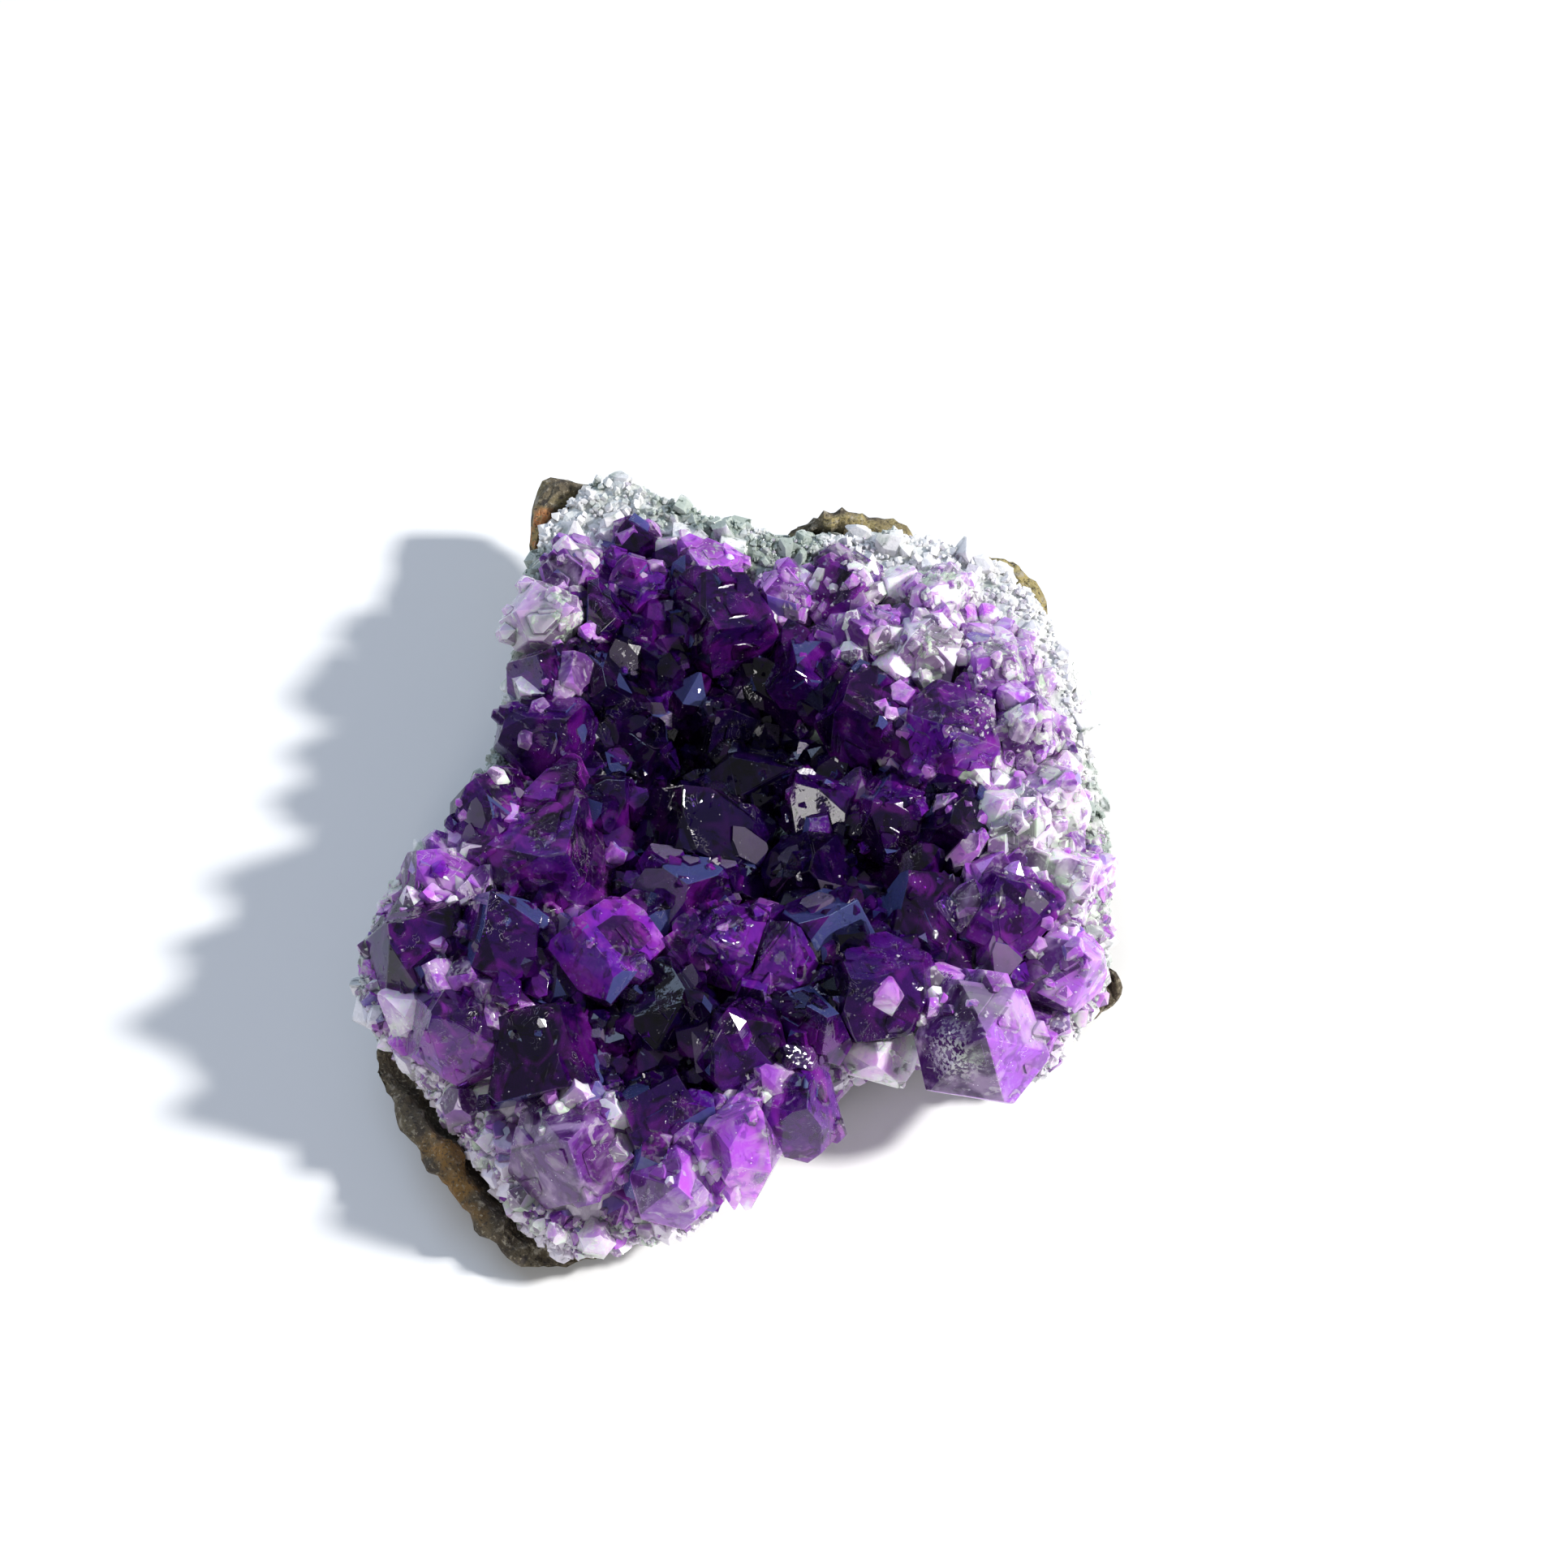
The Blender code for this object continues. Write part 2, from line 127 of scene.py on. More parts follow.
@dataclass
class Solid:
    """A solid with flat faces: its corners, and each face as a ring of corner numbers."""

    corners: Array
    faces: list[list[int]]

    @classmethod
    def behind(cls, normals: Array, offsets: Array) -> "Solid":
        """The convex solid behind a set of planes.

        Every three planes meet in one point. A corner is such a point that no plane cuts off,
        and a face's corners are those on its plane, in order of their angle round its middle.
        """
        triples = np.array(list(itertools.combinations(range(len(normals)), 3)))
        sound = np.abs(np.linalg.det(normals[triples])) > 1e-3
        meeting = np.linalg.solve(normals[triples[sound]], offsets[triples[sound]][..., None])
        meeting = meeting[..., 0]
        kept = meeting[(meeting @ normals.T <= offsets + 1e-6).all(1)]
        corners = np.unique(kept.round(6), axis=0)
        faces = []
        for normal, offset in zip(normals, offsets):
            on = np.flatnonzero(np.abs(corners @ normal - offset) < 1e-5)
            if len(on) < 3:
                continue
            arms = corners[on] - corners[on].mean(0)
            basis = frames_along(normal[None], np.zeros(1))[0]
            around = np.arctan2(arms @ basis[:, 1], arms @ basis[:, 0])
            faces.append(on[np.argsort(around)].tolist())
        return cls(corners, faces)

    @classmethod
    def of_node(cls, node: bpy.types.Object) -> "Solid":
        """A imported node's solid, with its triangles joined into the flat faces they lie in."""
        mesh = bmesh.new()
        mesh.from_mesh(node.data)
        bmesh.ops.remove_doubles(mesh, verts=mesh.verts, dist=2e-6)
        bmesh.ops.dissolve_limit(
            mesh, angle_limit=math.radians(1.5), verts=mesh.verts, edges=mesh.edges
        )
        corners = np.array([v.co for v in mesh.verts])
        faces = [[v.index for v in face.verts] for face in mesh.faces]
        mesh.free()
        return cls(corners, faces)

    def plain(self, seed: int) -> "Skin":
        """The solid's own faces as a skin, each split into as few triangles as possible."""
        fans = [(f[0], f[k], f[k + 1]) for f in self.faces for k in range(1, len(f) - 1)]
        chances = np.random.default_rng(seed).uniform(size=len(self.faces))
        per_tri = np.repeat(chances, [len(f) - 2 for f in self.faces])
        return Skin(
            self.corners,
            np.zeros((0, 4), int),
            np.array(fans),
            {"edge": np.zeros(len(self.corners))},
            {"chance": per_tri},
        )


@dataclass
class Skin:
    """A mesh as arrays: points, four- and three-sided faces, and named values on them."""

    points: Array
    quads: Array
    tris: Array
    on_points: dict[str, Array]
    on_faces: dict[str, Array]  # the quads' values, then the tris'

    def repeated(self, matrices: Array, places: Array) -> "Skin":
        """Many copies in one skin.

        Args:
            matrices: one 3 by 3 matrix for each copy.
            places: where each copy's origin goes.

        Returns:
            One skin: every copy is its matrix times the points, plus its place.
        """
        count, size = len(places), len(self.points)
        points = np.einsum("nij,pj->npi", matrices, self.points) + places[:, None]
        steps = (np.arange(count) * size)[:, None, None]
        quads = (self.quads[None] + steps).reshape(-1, 4)
        tris = (self.tris[None] + steps).reshape(-1, 3)
        on_points = {k: np.tile(v, count) for k, v in self.on_points.items()}
        on_faces = {}
        for name, values in self.on_faces.items():
            split = len(self.quads)
            parts = (np.tile(values[:split], count), np.tile(values[split:], count))
            on_faces[name] = np.concatenate(parts)
        return Skin(points.reshape(-1, 3), quads, tris, on_points, on_faces)

    def built(self, name: str) -> bpy.types.Object:
        """The skin as a scene object at the origin."""
        data = bpy.data.meshes.new(name)
        data.from_pydata(self.points.tolist(), [], self.quads.tolist() + self.tris.tolist())
        for domain, values in (("POINT", self.on_points), ("FACE", self.on_faces)):
            for label, numbers in values.items():
                layer = data.attributes.new(label, "FLOAT", domain)
                layer.data.foreach_set("value", np.ascontiguousarray(numbers, np.float32))
        data.validate()
        made = bpy.data.objects.new(name, data)
        bpy.context.scene.collection.objects.link(made)
        return made


def joined(skins: list[Skin]) -> Skin:
    """Several skins as one."""
    starts = np.cumsum([0] + [len(s.points) for s in skins[:-1]])
    splits = [len(s.quads) for s in skins]
    names = skins[0].on_faces
    return Skin(
        np.concatenate([s.points for s in skins]),
        np.concatenate([s.quads + start for s, start in zip(skins, starts)]),
        np.concatenate([s.tris + start for s, start in zip(skins, starts)]),
        {k: np.concatenate([s.on_points[k] for s in skins]) for k in skins[0].on_points},
        {
            k: np.concatenate(
                [s.on_faces[k][:n] for s, n in zip(skins, splits)]
                + [s.on_faces[k][n:] for s, n in zip(skins, splits)]
            )
            for k in names
        },
    )


@dataclass(frozen=True)
class Facets:
    """How a solid's flat faces become fine surfaces."""

    rings: tuple[float, ...]  # shares of the way from a face's middle to its edge, up to 1
    columns: int  # steps along each edge
    dulled: float  # how far an edge is worn back
    relief: float = 0.0  # height of the growth steps on a face
    step_size: float = 3 * MM  # size of the growth steps

    def skin(self, solid: Solid, seed: int) -> Skin:
        """Cover a solid.

        Each face is split into wedges, one for each edge. A point of a wedge is
        middle + u * (edge point - middle), with u in rings and the edge point at equal steps
        along the edge. Growth steps raise it along the face's normal by a rounded-off swell
        that fades out at the edge, and points on an edge move in along the mean normal.
        """
        start = np.concatenate(solid.faces)
        end = np.concatenate([np.roll(face, -1) for face in solid.faces])
        owner = np.repeat(np.arange(len(solid.faces)), [len(face) for face in solid.faces])
        middles = np.array([solid.corners[f].mean(0) for f in solid.faces])
        a, b, c = solid.corners[start], solid.corners[end], middles[owner]
        area = np.cross(a - c, b - c)
        normals = np.zeros_like(middles)
        np.add.at(normals, owner, area)
        sizes = np.sqrt(np.linalg.norm(normals, axis=1))
        normals = unit(normals)
        u = np.array(self.rings)[None, :, None, None]
        v = np.linspace(0, 1, self.columns + 1)[None, None, :, None]
        a, b, c = (ends[:, None, None] for ends in (a, b, c))
        grid = c + u * (a + v * (b - a) - c)
        if self.relief:
            steps = swell(grid + seed, self.step_size, seed)
            steps = 0.85 * np.round(steps * 1.6) / 1.6 + 0.15 * steps
            height = self.relief * np.minimum(1, sizes[owner] / (4 * MM))
            height = height[:, None, None] * (1 - u[..., 0] ** 4) * steps
            grid = grid + height[..., None] * normals[owner][:, None, None]
        return self._sewn(grid, owner, middles, solid, normals, seed)

    def _sewn(
        self, grid: Array, owner: Array, middles: Array, solid: Solid, normals: Array, seed: int
    ) -> Skin:
        """Join the wedges into one closed skin and dull its edges."""
        wedges, rings, across = grid.shape[:3]
        number = np.arange(wedges * rings * across).reshape(wedges, rings, across)
        near, far = number[:, :-1], number[:, 1:]
        quads = np.stack([near[..., :-1], far[..., :-1], far[..., 1:], near[..., 1:]], -1)
        inner = number[:, 0]
        hub = np.broadcast_to((number.size + owner)[:, None], inner[:, 1:].shape)
        tris = np.stack([hub, inner[:, :-1], inner[:, 1:]], -1)
        hubs = middles
        if self.relief:
            steps = swell(middles + seed, self.step_size, seed)
            hubs = middles + normals * self.relief * steps[:, None]
        points = np.concatenate([grid.reshape(-1, 3), hubs])
        rim = np.zeros(len(points))
        rim[number[:, -1].ravel()] = 1
        rounded = (points / WELD).round()
        _, kept, merged = np.unique(rounded, axis=0, return_index=True, return_inverse=True)
        merged = merged.ravel()
        points, rim = points[kept], rim[kept]
        quads, tris = merged[quads].reshape(-1, 4), merged[tris].reshape(-1, 3)
        pull = np.zeros_like(points)
        first, second, third = points[quads[:, :3]].transpose(1, 0, 2)
        side = unit(np.cross(second - first, third - first))
        for corner in range(4):
            np.add.at(pull, quads[:, corner], side)
        points = points - unit(pull) * (rim * self.dulled)[:, None]
        chances = np.random.default_rng(seed).uniform(size=len(solid.faces))
        per_quad = np.repeat(chances[owner], (rings - 1) * (across - 1))
        per_tri = np.repeat(chances[owner], across - 1)
        on_faces = {"chance": np.concatenate([per_quad, per_tri])}
        return Skin(points, quads, tris, {"edge": rim}, on_faces)


def hexagonal(rng: np.random.Generator, stout: float) -> Solid:
    """A quartz crystal that stands on the origin along +Z, about one unit across.

    It lies behind six prism planes and six tip planes. Every second tip plane is set further
    out, so that three tip faces are smaller than the other three.

    Args:
        rng: varies how far each plane is from the axis.
        stout: length over width.
    """
    angles = np.radians(np.arange(6) * 60.0)
    out = np.stack([np.cos(angles), np.sin(angles), 0 * angles], -1)
    tilt = math.radians(TIP_TILT)
    tips = out * math.sin(tilt) + [0, 0, math.cos(tilt)]
    reach = 0.5 * rng.uniform(0.80, 1.12, 6)
    small, large = rng.uniform(-0.02, 0.30, 6), rng.uniform(-0.16, 0.06, 6)
    back = 0.5 * np.where(np.arange(6) % 2, small, large)
    normals = np.concatenate([out, tips, [[0, 0, -1]]])
    offsets = np.concatenate([reach, stout * math.cos(tilt) + back, [0.0]])
    return Solid.behind(normals, offsets)


def shard(rng: np.random.Generator, planes: int) -> Solid:
    """A grain of broken quartz one unit across: a cube cut by that many random planes."""
    box = [[0, 0, -1], [0, 0, 1], [1, 0, 0], [-1, 0, 0], [0, 1, 0], [0, -1, 0]]
    normals = np.concatenate([unit(rng.normal(size=(planes, 3))), box])
    offsets = np.concatenate([rng.uniform(0.3, 0.5, planes), np.full(6, 0.5)])
    return Solid.behind(normals, offsets)


# ---------------------------------------------------------------- where things grow


class Tone(Enum):
    """Strengths of violet, from nearly black to nearly white, by the record's slot."""

    INK = "amethyst_ink"
    DEEP = "amethyst_deep"
    ROYAL = "amethyst_royal"
    LILAC = "amethyst_lilac"
    PALE = "amethyst_pale"


class Hit(NamedTuple):
    """What a look straight down meets."""

    place: Array
    normal: Array
    node: str


class Ground:
    """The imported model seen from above: its surface, and how near a place is to the edge."""

    def __init__(self, nodes: dict[str, bpy.types.Object]) -> None:
        """Index every node's triangles, and measure the outline of the quartz bed."""
        points, faces, self.owner, start = [], [], [], 0
        for name, node in nodes.items():
            size = len(node.data.vertices)
            found = np.zeros(size * 3, np.float32)
            node.data.vertices.foreach_get("co", found)
            points.append(found.reshape(-1, 3).astype(float))
            corners = [[start + i for i in face.vertices] for face in node.data.polygons]
            faces += corners
            self.owner += [name] * len(corners)
            start += size
            if name == BED:
                bed = points[-1]
                self.bed_tree = BVHTree.FromPolygons(
                    bed.tolist(), [list(face.vertices) for face in node.data.polygons]
                )
        points = np.concatenate(points)
        self.low, self.high = points.min(0), points.max(0)
        self.tree = BVHTree.FromPolygons(points.tolist(), faces)
        angles = np.arctan2(bed[:, 1], bed[:, 0]) % math.tau
        radii = np.hypot(bed[:, 0], bed[:, 1])
        spoke = np.round(angles / math.tau * SPOKES).astype(int) % SPOKES
        self.radii = np.zeros(SPOKES)
        np.maximum.at(self.radii, spoke, radii)

    def reach(self, angles: Array) -> Array:
        """The bed's radius in each direction from the origin."""
        turns = np.arange(SPOKES + 1) * math.tau / SPOKES
        return np.interp(angles % math.tau, turns, np.append(self.radii, self.radii[0]))

    def share(self, places: Array) -> Array:
        """How far out each place is: 0 at the origin and 1 at the edge of the bed."""
        radii = np.hypot(places[:, 0], places[:, 1])
        return radii / self.reach(np.arctan2(places[:, 1], places[:, 0]))

    def paleness(self, places: Array) -> Array:
        """How pale the crystals are: they pale from 0.8 up, towards the edge and at the right."""
        front, left = self.toward(places, 245, 4), self.toward(places, 160, 4)
        drift = 0.05 * swell(places, 9 * MM, 77)
        share = self.share(places)
        return share - 0.06 + 0.32 * self.rightness(places) + 0.07 * front + 0.06 * left + drift

    def toward(self, places: Array, degrees: float, power: float) -> Array:
        """1 in one direction from the origin, 0 from a quarter turn away."""
        ways = np.arctan2(places[:, 1], places[:, 0])
        return np.maximum(0, np.cos(ways - math.radians(degrees))) ** power

    def rightness(self, places: Array) -> Array:
        """1 towards the right of the back and 0 at the left and in front."""
        return self.toward(places, 34, 1.4)

    def washed(self, places: Array) -> Array:
        """How far the colour is washed out of the crystals on the right, from 0 to 1."""
        return np.clip((self.paleness(places) - 0.92) / 0.25, 0, 1) * self.rightness(places)

    def bareness(self, places: Array) -> Array:
        """Above 0 on the band of sugary quartz along the back, where few crystals grow."""
        band = 0.16 * self.toward(places, 90, 0.7)
        return self.share(places) - 1.0 + band + 0.02 * swell(places, 5 * MM, 78)

    def look(self, x: float, y: float) -> Hit | None:
        """The highest surface at a place."""
        place, normal, index, _ = self.tree.ray_cast(Vector((x, y, ABOVE)), Vector((0, 0, -1)))
        if place is None:
            return None
        return Hit(np.array(place), np.array(normal), self.owner[index])

    def room(self, tip: Array, axis: Array) -> float:
        """How far behind a tip the model's underside is, along the crystal's axis."""
        far = 60 * MM
        _, _, _, away = self.tree.ray_cast(Vector(tip - axis * far), Vector(axis))
        return far - (away or far)

    def bed(self, x: float, y: float) -> float | None:
        """Height of the quartz bed at a place, under the crystals."""
        place, _, _, _ = self.bed_tree.ray_cast(Vector((x, y, ABOVE)), Vector((0, 0, -1)))
        return None if place is None else place.z


# ---------------------------------------------------------------- finishes


class Wiring:
    """A material's node tree, and short ways to add to it."""

    def __init__(self, name: str) -> None:
        """Start a material that holds only its output and a Principled shader."""
        self.material = bpy.data.materials.new(name)
        self.material.use_nodes = True
        self.tree = self.material.node_tree
        self.shader = self.tree.nodes["Principled BSDF"]
        self.place = self.add("ShaderNodeTexCoord").outputs["Object"]

    def add(self, kind: str, values: dict | None = None, **settings: object) -> bpy.types.Node:
        """Add a node.

        Args:
            kind: the node's type.
            values: what each input holds, or the output that it is joined to.
            settings: the node's own properties.

        Returns:
            The new node.
        """
        node = self.tree.nodes.new(kind)
        for name, value in settings.items():
            setattr(node, name, value)
        for name, value in (values or {}).items():
            self.put(node.inputs[name], value)
        return node

    def put(self, socket: Socket, value: object) -> None:
        """Join a socket to an output, or set its value."""
        if isinstance(value, Socket):
            self.tree.links.new(value, socket)
        else:
            socket.default_value = value

    def shade(self, **values: object) -> None:
        """Set or join the shader's sockets, named with _ for each space."""
        for name, value in values.items():
            self.put(self.shader.inputs[name.replace("_", " ")], value)

    def value_of(self, label: str) -> Socket:
        """A value that the mesh carries."""
        return self.add("ShaderNodeAttribute", attribute_name=label).outputs["Fac"]

    def noise(self, size: float, detail: float = 2.0, twist: float = 0.0) -> Socket:
        """Cloudy noise with patches of one size."""
        values = {"Vector": self.place, "Scale": 1 / size, "Detail": detail, "Distortion": twist}
        return self.add("ShaderNodeTexNoise", values).outputs["Fac"]

    def cells(self, size: float, where: Socket | None = None) -> bpy.types.Node:
        """A pattern of cells of one size."""
        values = {"Vector": where or self.place, "Scale": 1 / size}
        return self.add("ShaderNodeTexVoronoi", values)

    def vector(self, kind: str, values: dict) -> bpy.types.Node:
        """A step of arithmetic on vectors."""
        return self.add("ShaderNodeVectorMath", values, operation=kind)

    def away(self, centre: Place) -> Socket:
        """How far it is to a place."""
        return self.vector("DISTANCE", {0: self.place, 1: centre}).outputs["Value"]

    def depth(self) -> Socket:
        """How far back a place is: its y."""
        return self.add("ShaderNodeSeparateXYZ", {0: self.place}).outputs["Y"]

    def math(self, kind: str, first: object, second: object = 0.0, clamp: bool = False) -> Socket:
        """A sum, product or other step of arithmetic."""
        node = self.add("ShaderNodeMath", {0: first, 1: second}, operation=kind, use_clamp=clamp)
        return node.outputs[0]

    def times(self, *factors: object) -> Socket:
        """A product."""
        return functools.reduce(lambda a, b: self.math("MULTIPLY", a, b), factors)

    def plus(self, *terms: object) -> Socket:
        """A sum."""
        return functools.reduce(lambda a, b: self.math("ADD", a, b), terms)

    def rise(
        self, value: object, low: float, high: float, bottom: float = 0, top: float = 1
    ) -> Socket:
        """A value that goes smoothly from bottom to top as another goes from low to high."""
        values = {0: value, "From Min": low, "From Max": high, "To Min": bottom, "To Max": top}
        return self.add("ShaderNodeMapRange", values, interpolation_type="SMOOTHSTEP").outputs[0]

    def mix(self, share: object, first: object, second: object, kind: str = "MIX") -> Socket:
        """Two colours mixed."""
        node = self.add("ShaderNodeMix", {0: share}, data_type="RGBA", blend_type=kind)
        self.put(node.inputs[6], first)
        self.put(node.inputs[7], second)
        return node.outputs[2]

    def bump(
        self, height: object, depth: float, strength: float = 1.0, over: object = None
    ) -> Socket:
        """A surface tilted by a height field, laid over another one where that is given."""
        values = {"Height": height, "Distance": depth, "Strength": strength}
        if over is not None:
            values["Normal"] = over
        return self.add("ShaderNodeBump", values).outputs[0]


def tint(red: float, green: float, blue: float) -> Colour:
    """An opaque colour."""
    return (red, green, blue, 1.0)


@dataclass(frozen=True)
class Amethyst:
    """The finish of one strength of amethyst."""

    slot: Tone
    foot: Colour
    body: Colour
    tip: Colour
    clear: float  # share of the light that goes through
    veils: float  # how white the inner cracks, specks and edges are; on the edges partly a painted highlight
    gloss: float  # roughness of a clean face
    milk: float  # share of light scattered inside
    glow: float  # how far the lit zones go to the lit colour
    lit: Colour
    dark: float = 0.3  # what is left of the colour in the patches of painted shade
    frost: float = 0.01  # how white the frosted patches are
    richer: float = 0.0  # how much nearer to the tip's colour the large crystals are
    broken: float = 0.5  # how much the strength changes between the shards inside
    painted_reflection: float = 0.85  # how far the faces with painted blue and silvery reflections go to their colour
    chips: float = 0.9  # how far the surface tilts on splintered patches
    white_chips: float = 0.0  # how white they are

    def material(self) -> bpy.types.Material:
        """Clear violet, paler at the foot, with clouds, veils, frost and growth lines.

        The colour goes from foot to tip along the crystal, shifted by clouds and by the shards
        inside. Each crystal has its own strength, and each face its own painted light or shade.
        Painted shade in dark patches, painted glow in lit patches, the wash of pale places, frost,
        painted blue and silvery reflections on some faces, white cracks, and white edges that are
        both wear and a painted highlight are laid over it.
        """
        w = Wiring(self.slot.value)
        height, chance, own = w.value_of("rise"), w.value_of("chance"), w.value_of("own")
        cloud = w.noise(3.2 * MM, 4.0, 0.8)
        fine = self.shards(w, 1.1 * MM)
        inside = w.plus(w.times(cloud, 2.4), w.times(fine, 0.4))
        inside = w.times(w.math("SUBTRACT", inside, 1.4), self.broken)
        large = w.value_of("large")
        zone = w.plus(height, inside, w.times(large, self.richer))
        low = w.mix(w.rise(zone, 0.0, 0.45), self.foot, self.body)
        colour = w.mix(w.rise(zone, 0.45, 1.0), low, self.tip)
        # painted light and shade: each face is made brighter or darker by chance, as inner
        # reflections would
        shade = w.times(w.rise(chance, 0, 1, 0.3, 1.8), w.rise(own, 0, 1, 0.7, 1.35))
        colour = w.mix(1.0, colour, shade, "MULTIPLY")
        # painted shade: random dark patches, where little light would come through the crystal
        dark = w.rise(w.noise(2.8 * MM, 3.0, 1.5), 0.50, 0.64, 1.0, self.dark)
        colour = w.mix(1.0, colour, dark, "MULTIPLY")
        glow = w.rise(w.noise(4.4 * MM, 3.0, 1.0), 0.48, 0.70, 0.0, self.glow)
        colour = w.mix(glow, colour, self.lit)
        washed = w.times(w.value_of("washed"), w.rise(w.noise(2.0 * MM, 3.0), 0.38, 0.62))
        palest = w.mix(w.rise(fine, 0.2, 0.8), tint(0.48, 0.26, 0.68), tint(0.95, 0.90, 0.97))
        colour = w.mix(w.rise(washed, 0.05, 0.7), colour, palest)
        splintered = w.rise(w.noise(2.6 * MM, 3.0, 1.5), 0.60, 0.66)
        frost = self.frosted(w, large, splintered)
        colour = w.mix(frost, colour, tint(0.97, 0.95, 0.98))
        # painted reflections: some faces, picked by chance, take the blue of a reflected sky and
        # some a silvery grey
        blue = self.near(w, chance, 0.47, 0.025)
        colour = w.mix(w.times(blue, self.painted_reflection), colour, tint(0.15, 0.19, 0.56))
        painted_silver_reflection = self.near(w, chance, 0.60, 0.02)
        colour = w.mix(w.times(painted_silver_reflection, self.painted_reflection * 0.8), colour, tint(0.42, 0.35, 0.50))
        white = self.whitened(w)
        colour = w.mix(w.times(white, self.veils), colour, tint(0.86, 0.80, 0.92))
        rough = w.rise(chance, 0.70, 0.95, self.gloss, self.gloss + 0.18)
        rough = w.math("ADD", rough, w.times(white, 0.3), clamp=True)
        lines = w.times(w.value_of("along"), math.tau / (0.42 * MM))
        lines = w.math("SINE", w.plus(lines, w.times(cloud, 30.0)))
        lines = w.times(lines, w.rise(chance, 0.35, 0.6))
        grown = w.bump(lines, 0.003 * MM, 0.4)
        pitted = w.bump(w.noise(0.9 * MM, 3.0, 0.5), 0.02 * MM, 0.4, grown)
        pitted = w.bump(frost, 0.06 * MM, 0.7, pitted)
        pitted = self.chipped(w, pitted, w.times(splintered, self.chips))
        w.shade(
            Base_Color=colour,
            Roughness=rough,
            Normal=pitted,
            IOR=1.544,
            Transmission_Weight=self.clear,
            Subsurface_Weight=self.milk,
            Subsurface_Scale=3.0 * MM,
            Subsurface_Radius=(0.8, 0.35, 1.0),
        )
        return w.material

    def near(self, w: Wiring, value: Socket, middle: float, reach: float) -> Socket:
        """1 where a value is within reach of the middle, and 0 elsewhere."""
        values = {0: value, 1: middle, 2: reach}
        return w.add("ShaderNodeMath", values, operation="COMPARE").outputs[0]

    def frosted(self, w: Wiring, large: Socket, splintered: Socket) -> Socket:
        """Where it is frosted white: calmer on the large crystals, more where splintered."""
        frost = w.times(
            w.rise(w.noise(0.55 * MM, 2.0), 0.50, 0.62),
            w.rise(w.noise(3.0 * MM, 2.0), 0.42, 0.6),
            w.rise(large, 0, 1, 1.0, 0.25),
            self.frost,
        )
        frost = w.math("MAXIMUM", frost, w.times(splintered, self.white_chips))
        patch = w.times(w.value_of("frosted"), w.rise(w.noise(0.5 * MM, 3.0), 0.46, 0.56))
        return w.math("MAXIMUM", frost, patch)

    def whitened(self, w: Wiring) -> Socket:
        """White inner cracks and specks, and white edges that are both wear and a painted
        highlight.
        """
        crack = w.math("ABSOLUTE", w.math("SUBTRACT", w.noise(2.4 * MM, 3.0, 2.2), 0.5))
        crack = w.rise(crack, 0.0, 0.014, 1, 0)
        crack = w.times(crack, w.rise(w.noise(3.6 * MM, 1.0), 0.56, 0.68))
        speck = w.rise(w.cells(0.75 * MM).outputs["Distance"], 0.10, 0.16, 1, 0)
        speck = w.times(speck, w.rise(w.noise(2.2 * MM, 2.0), 0.55, 0.62))
        # white along the edges: partly wear, partly a painted edge highlight
        worn_and_highlit = w.rise(w.value_of("edge"), 0.35, 0.95)
        worn_and_highlit = w.times(worn_and_highlit, w.rise(w.noise(1.3 * MM, 3.0), 0.48, 0.66), 0.35)
        return w.math("MAXIMUM", w.math("MAXIMUM", crack, speck), worn_and_highlit)

    def shards(self, w: Wiring, size: float) -> Socket:
        """A different number in every polygon of a broken pattern, as cracks give inside quartz."""
        bent = w.add("ShaderNodeTexNoise", {"Vector": w.place, "Scale": 0.4 / size, "Detail": 1.0})
        push = w.vector("SCALE", {0: bent.outputs["Color"], "Scale": 1.6 * size})
        where = w.vector("ADD", {0: w.place, 1: push.outputs[0]})
        cells = w.cells(size, where.outputs[0])
        return w.add("ShaderNodeSeparateColor", {0: cells.outputs["Color"]}).outputs[0]

    def chipped(self, w: Wiring, normal: Socket, where: Socket) -> Socket:
        """The normal, tilted differently on every tiny chip where the crystal is splintered."""
        colours = w.cells(0.45 * MM).outputs["Color"]
        ways = w.vector("SUBTRACT", {0: colours, 1: (0.5, 0.5, 0.5)})
        push = w.vector("SCALE", {0: ways.outputs[0], "Scale": where})
        summed = w.vector("ADD", {0: normal, 1: push.outputs[0]})
        return w.vector("NORMALIZE", {0: summed.outputs[0]}).outputs[0]


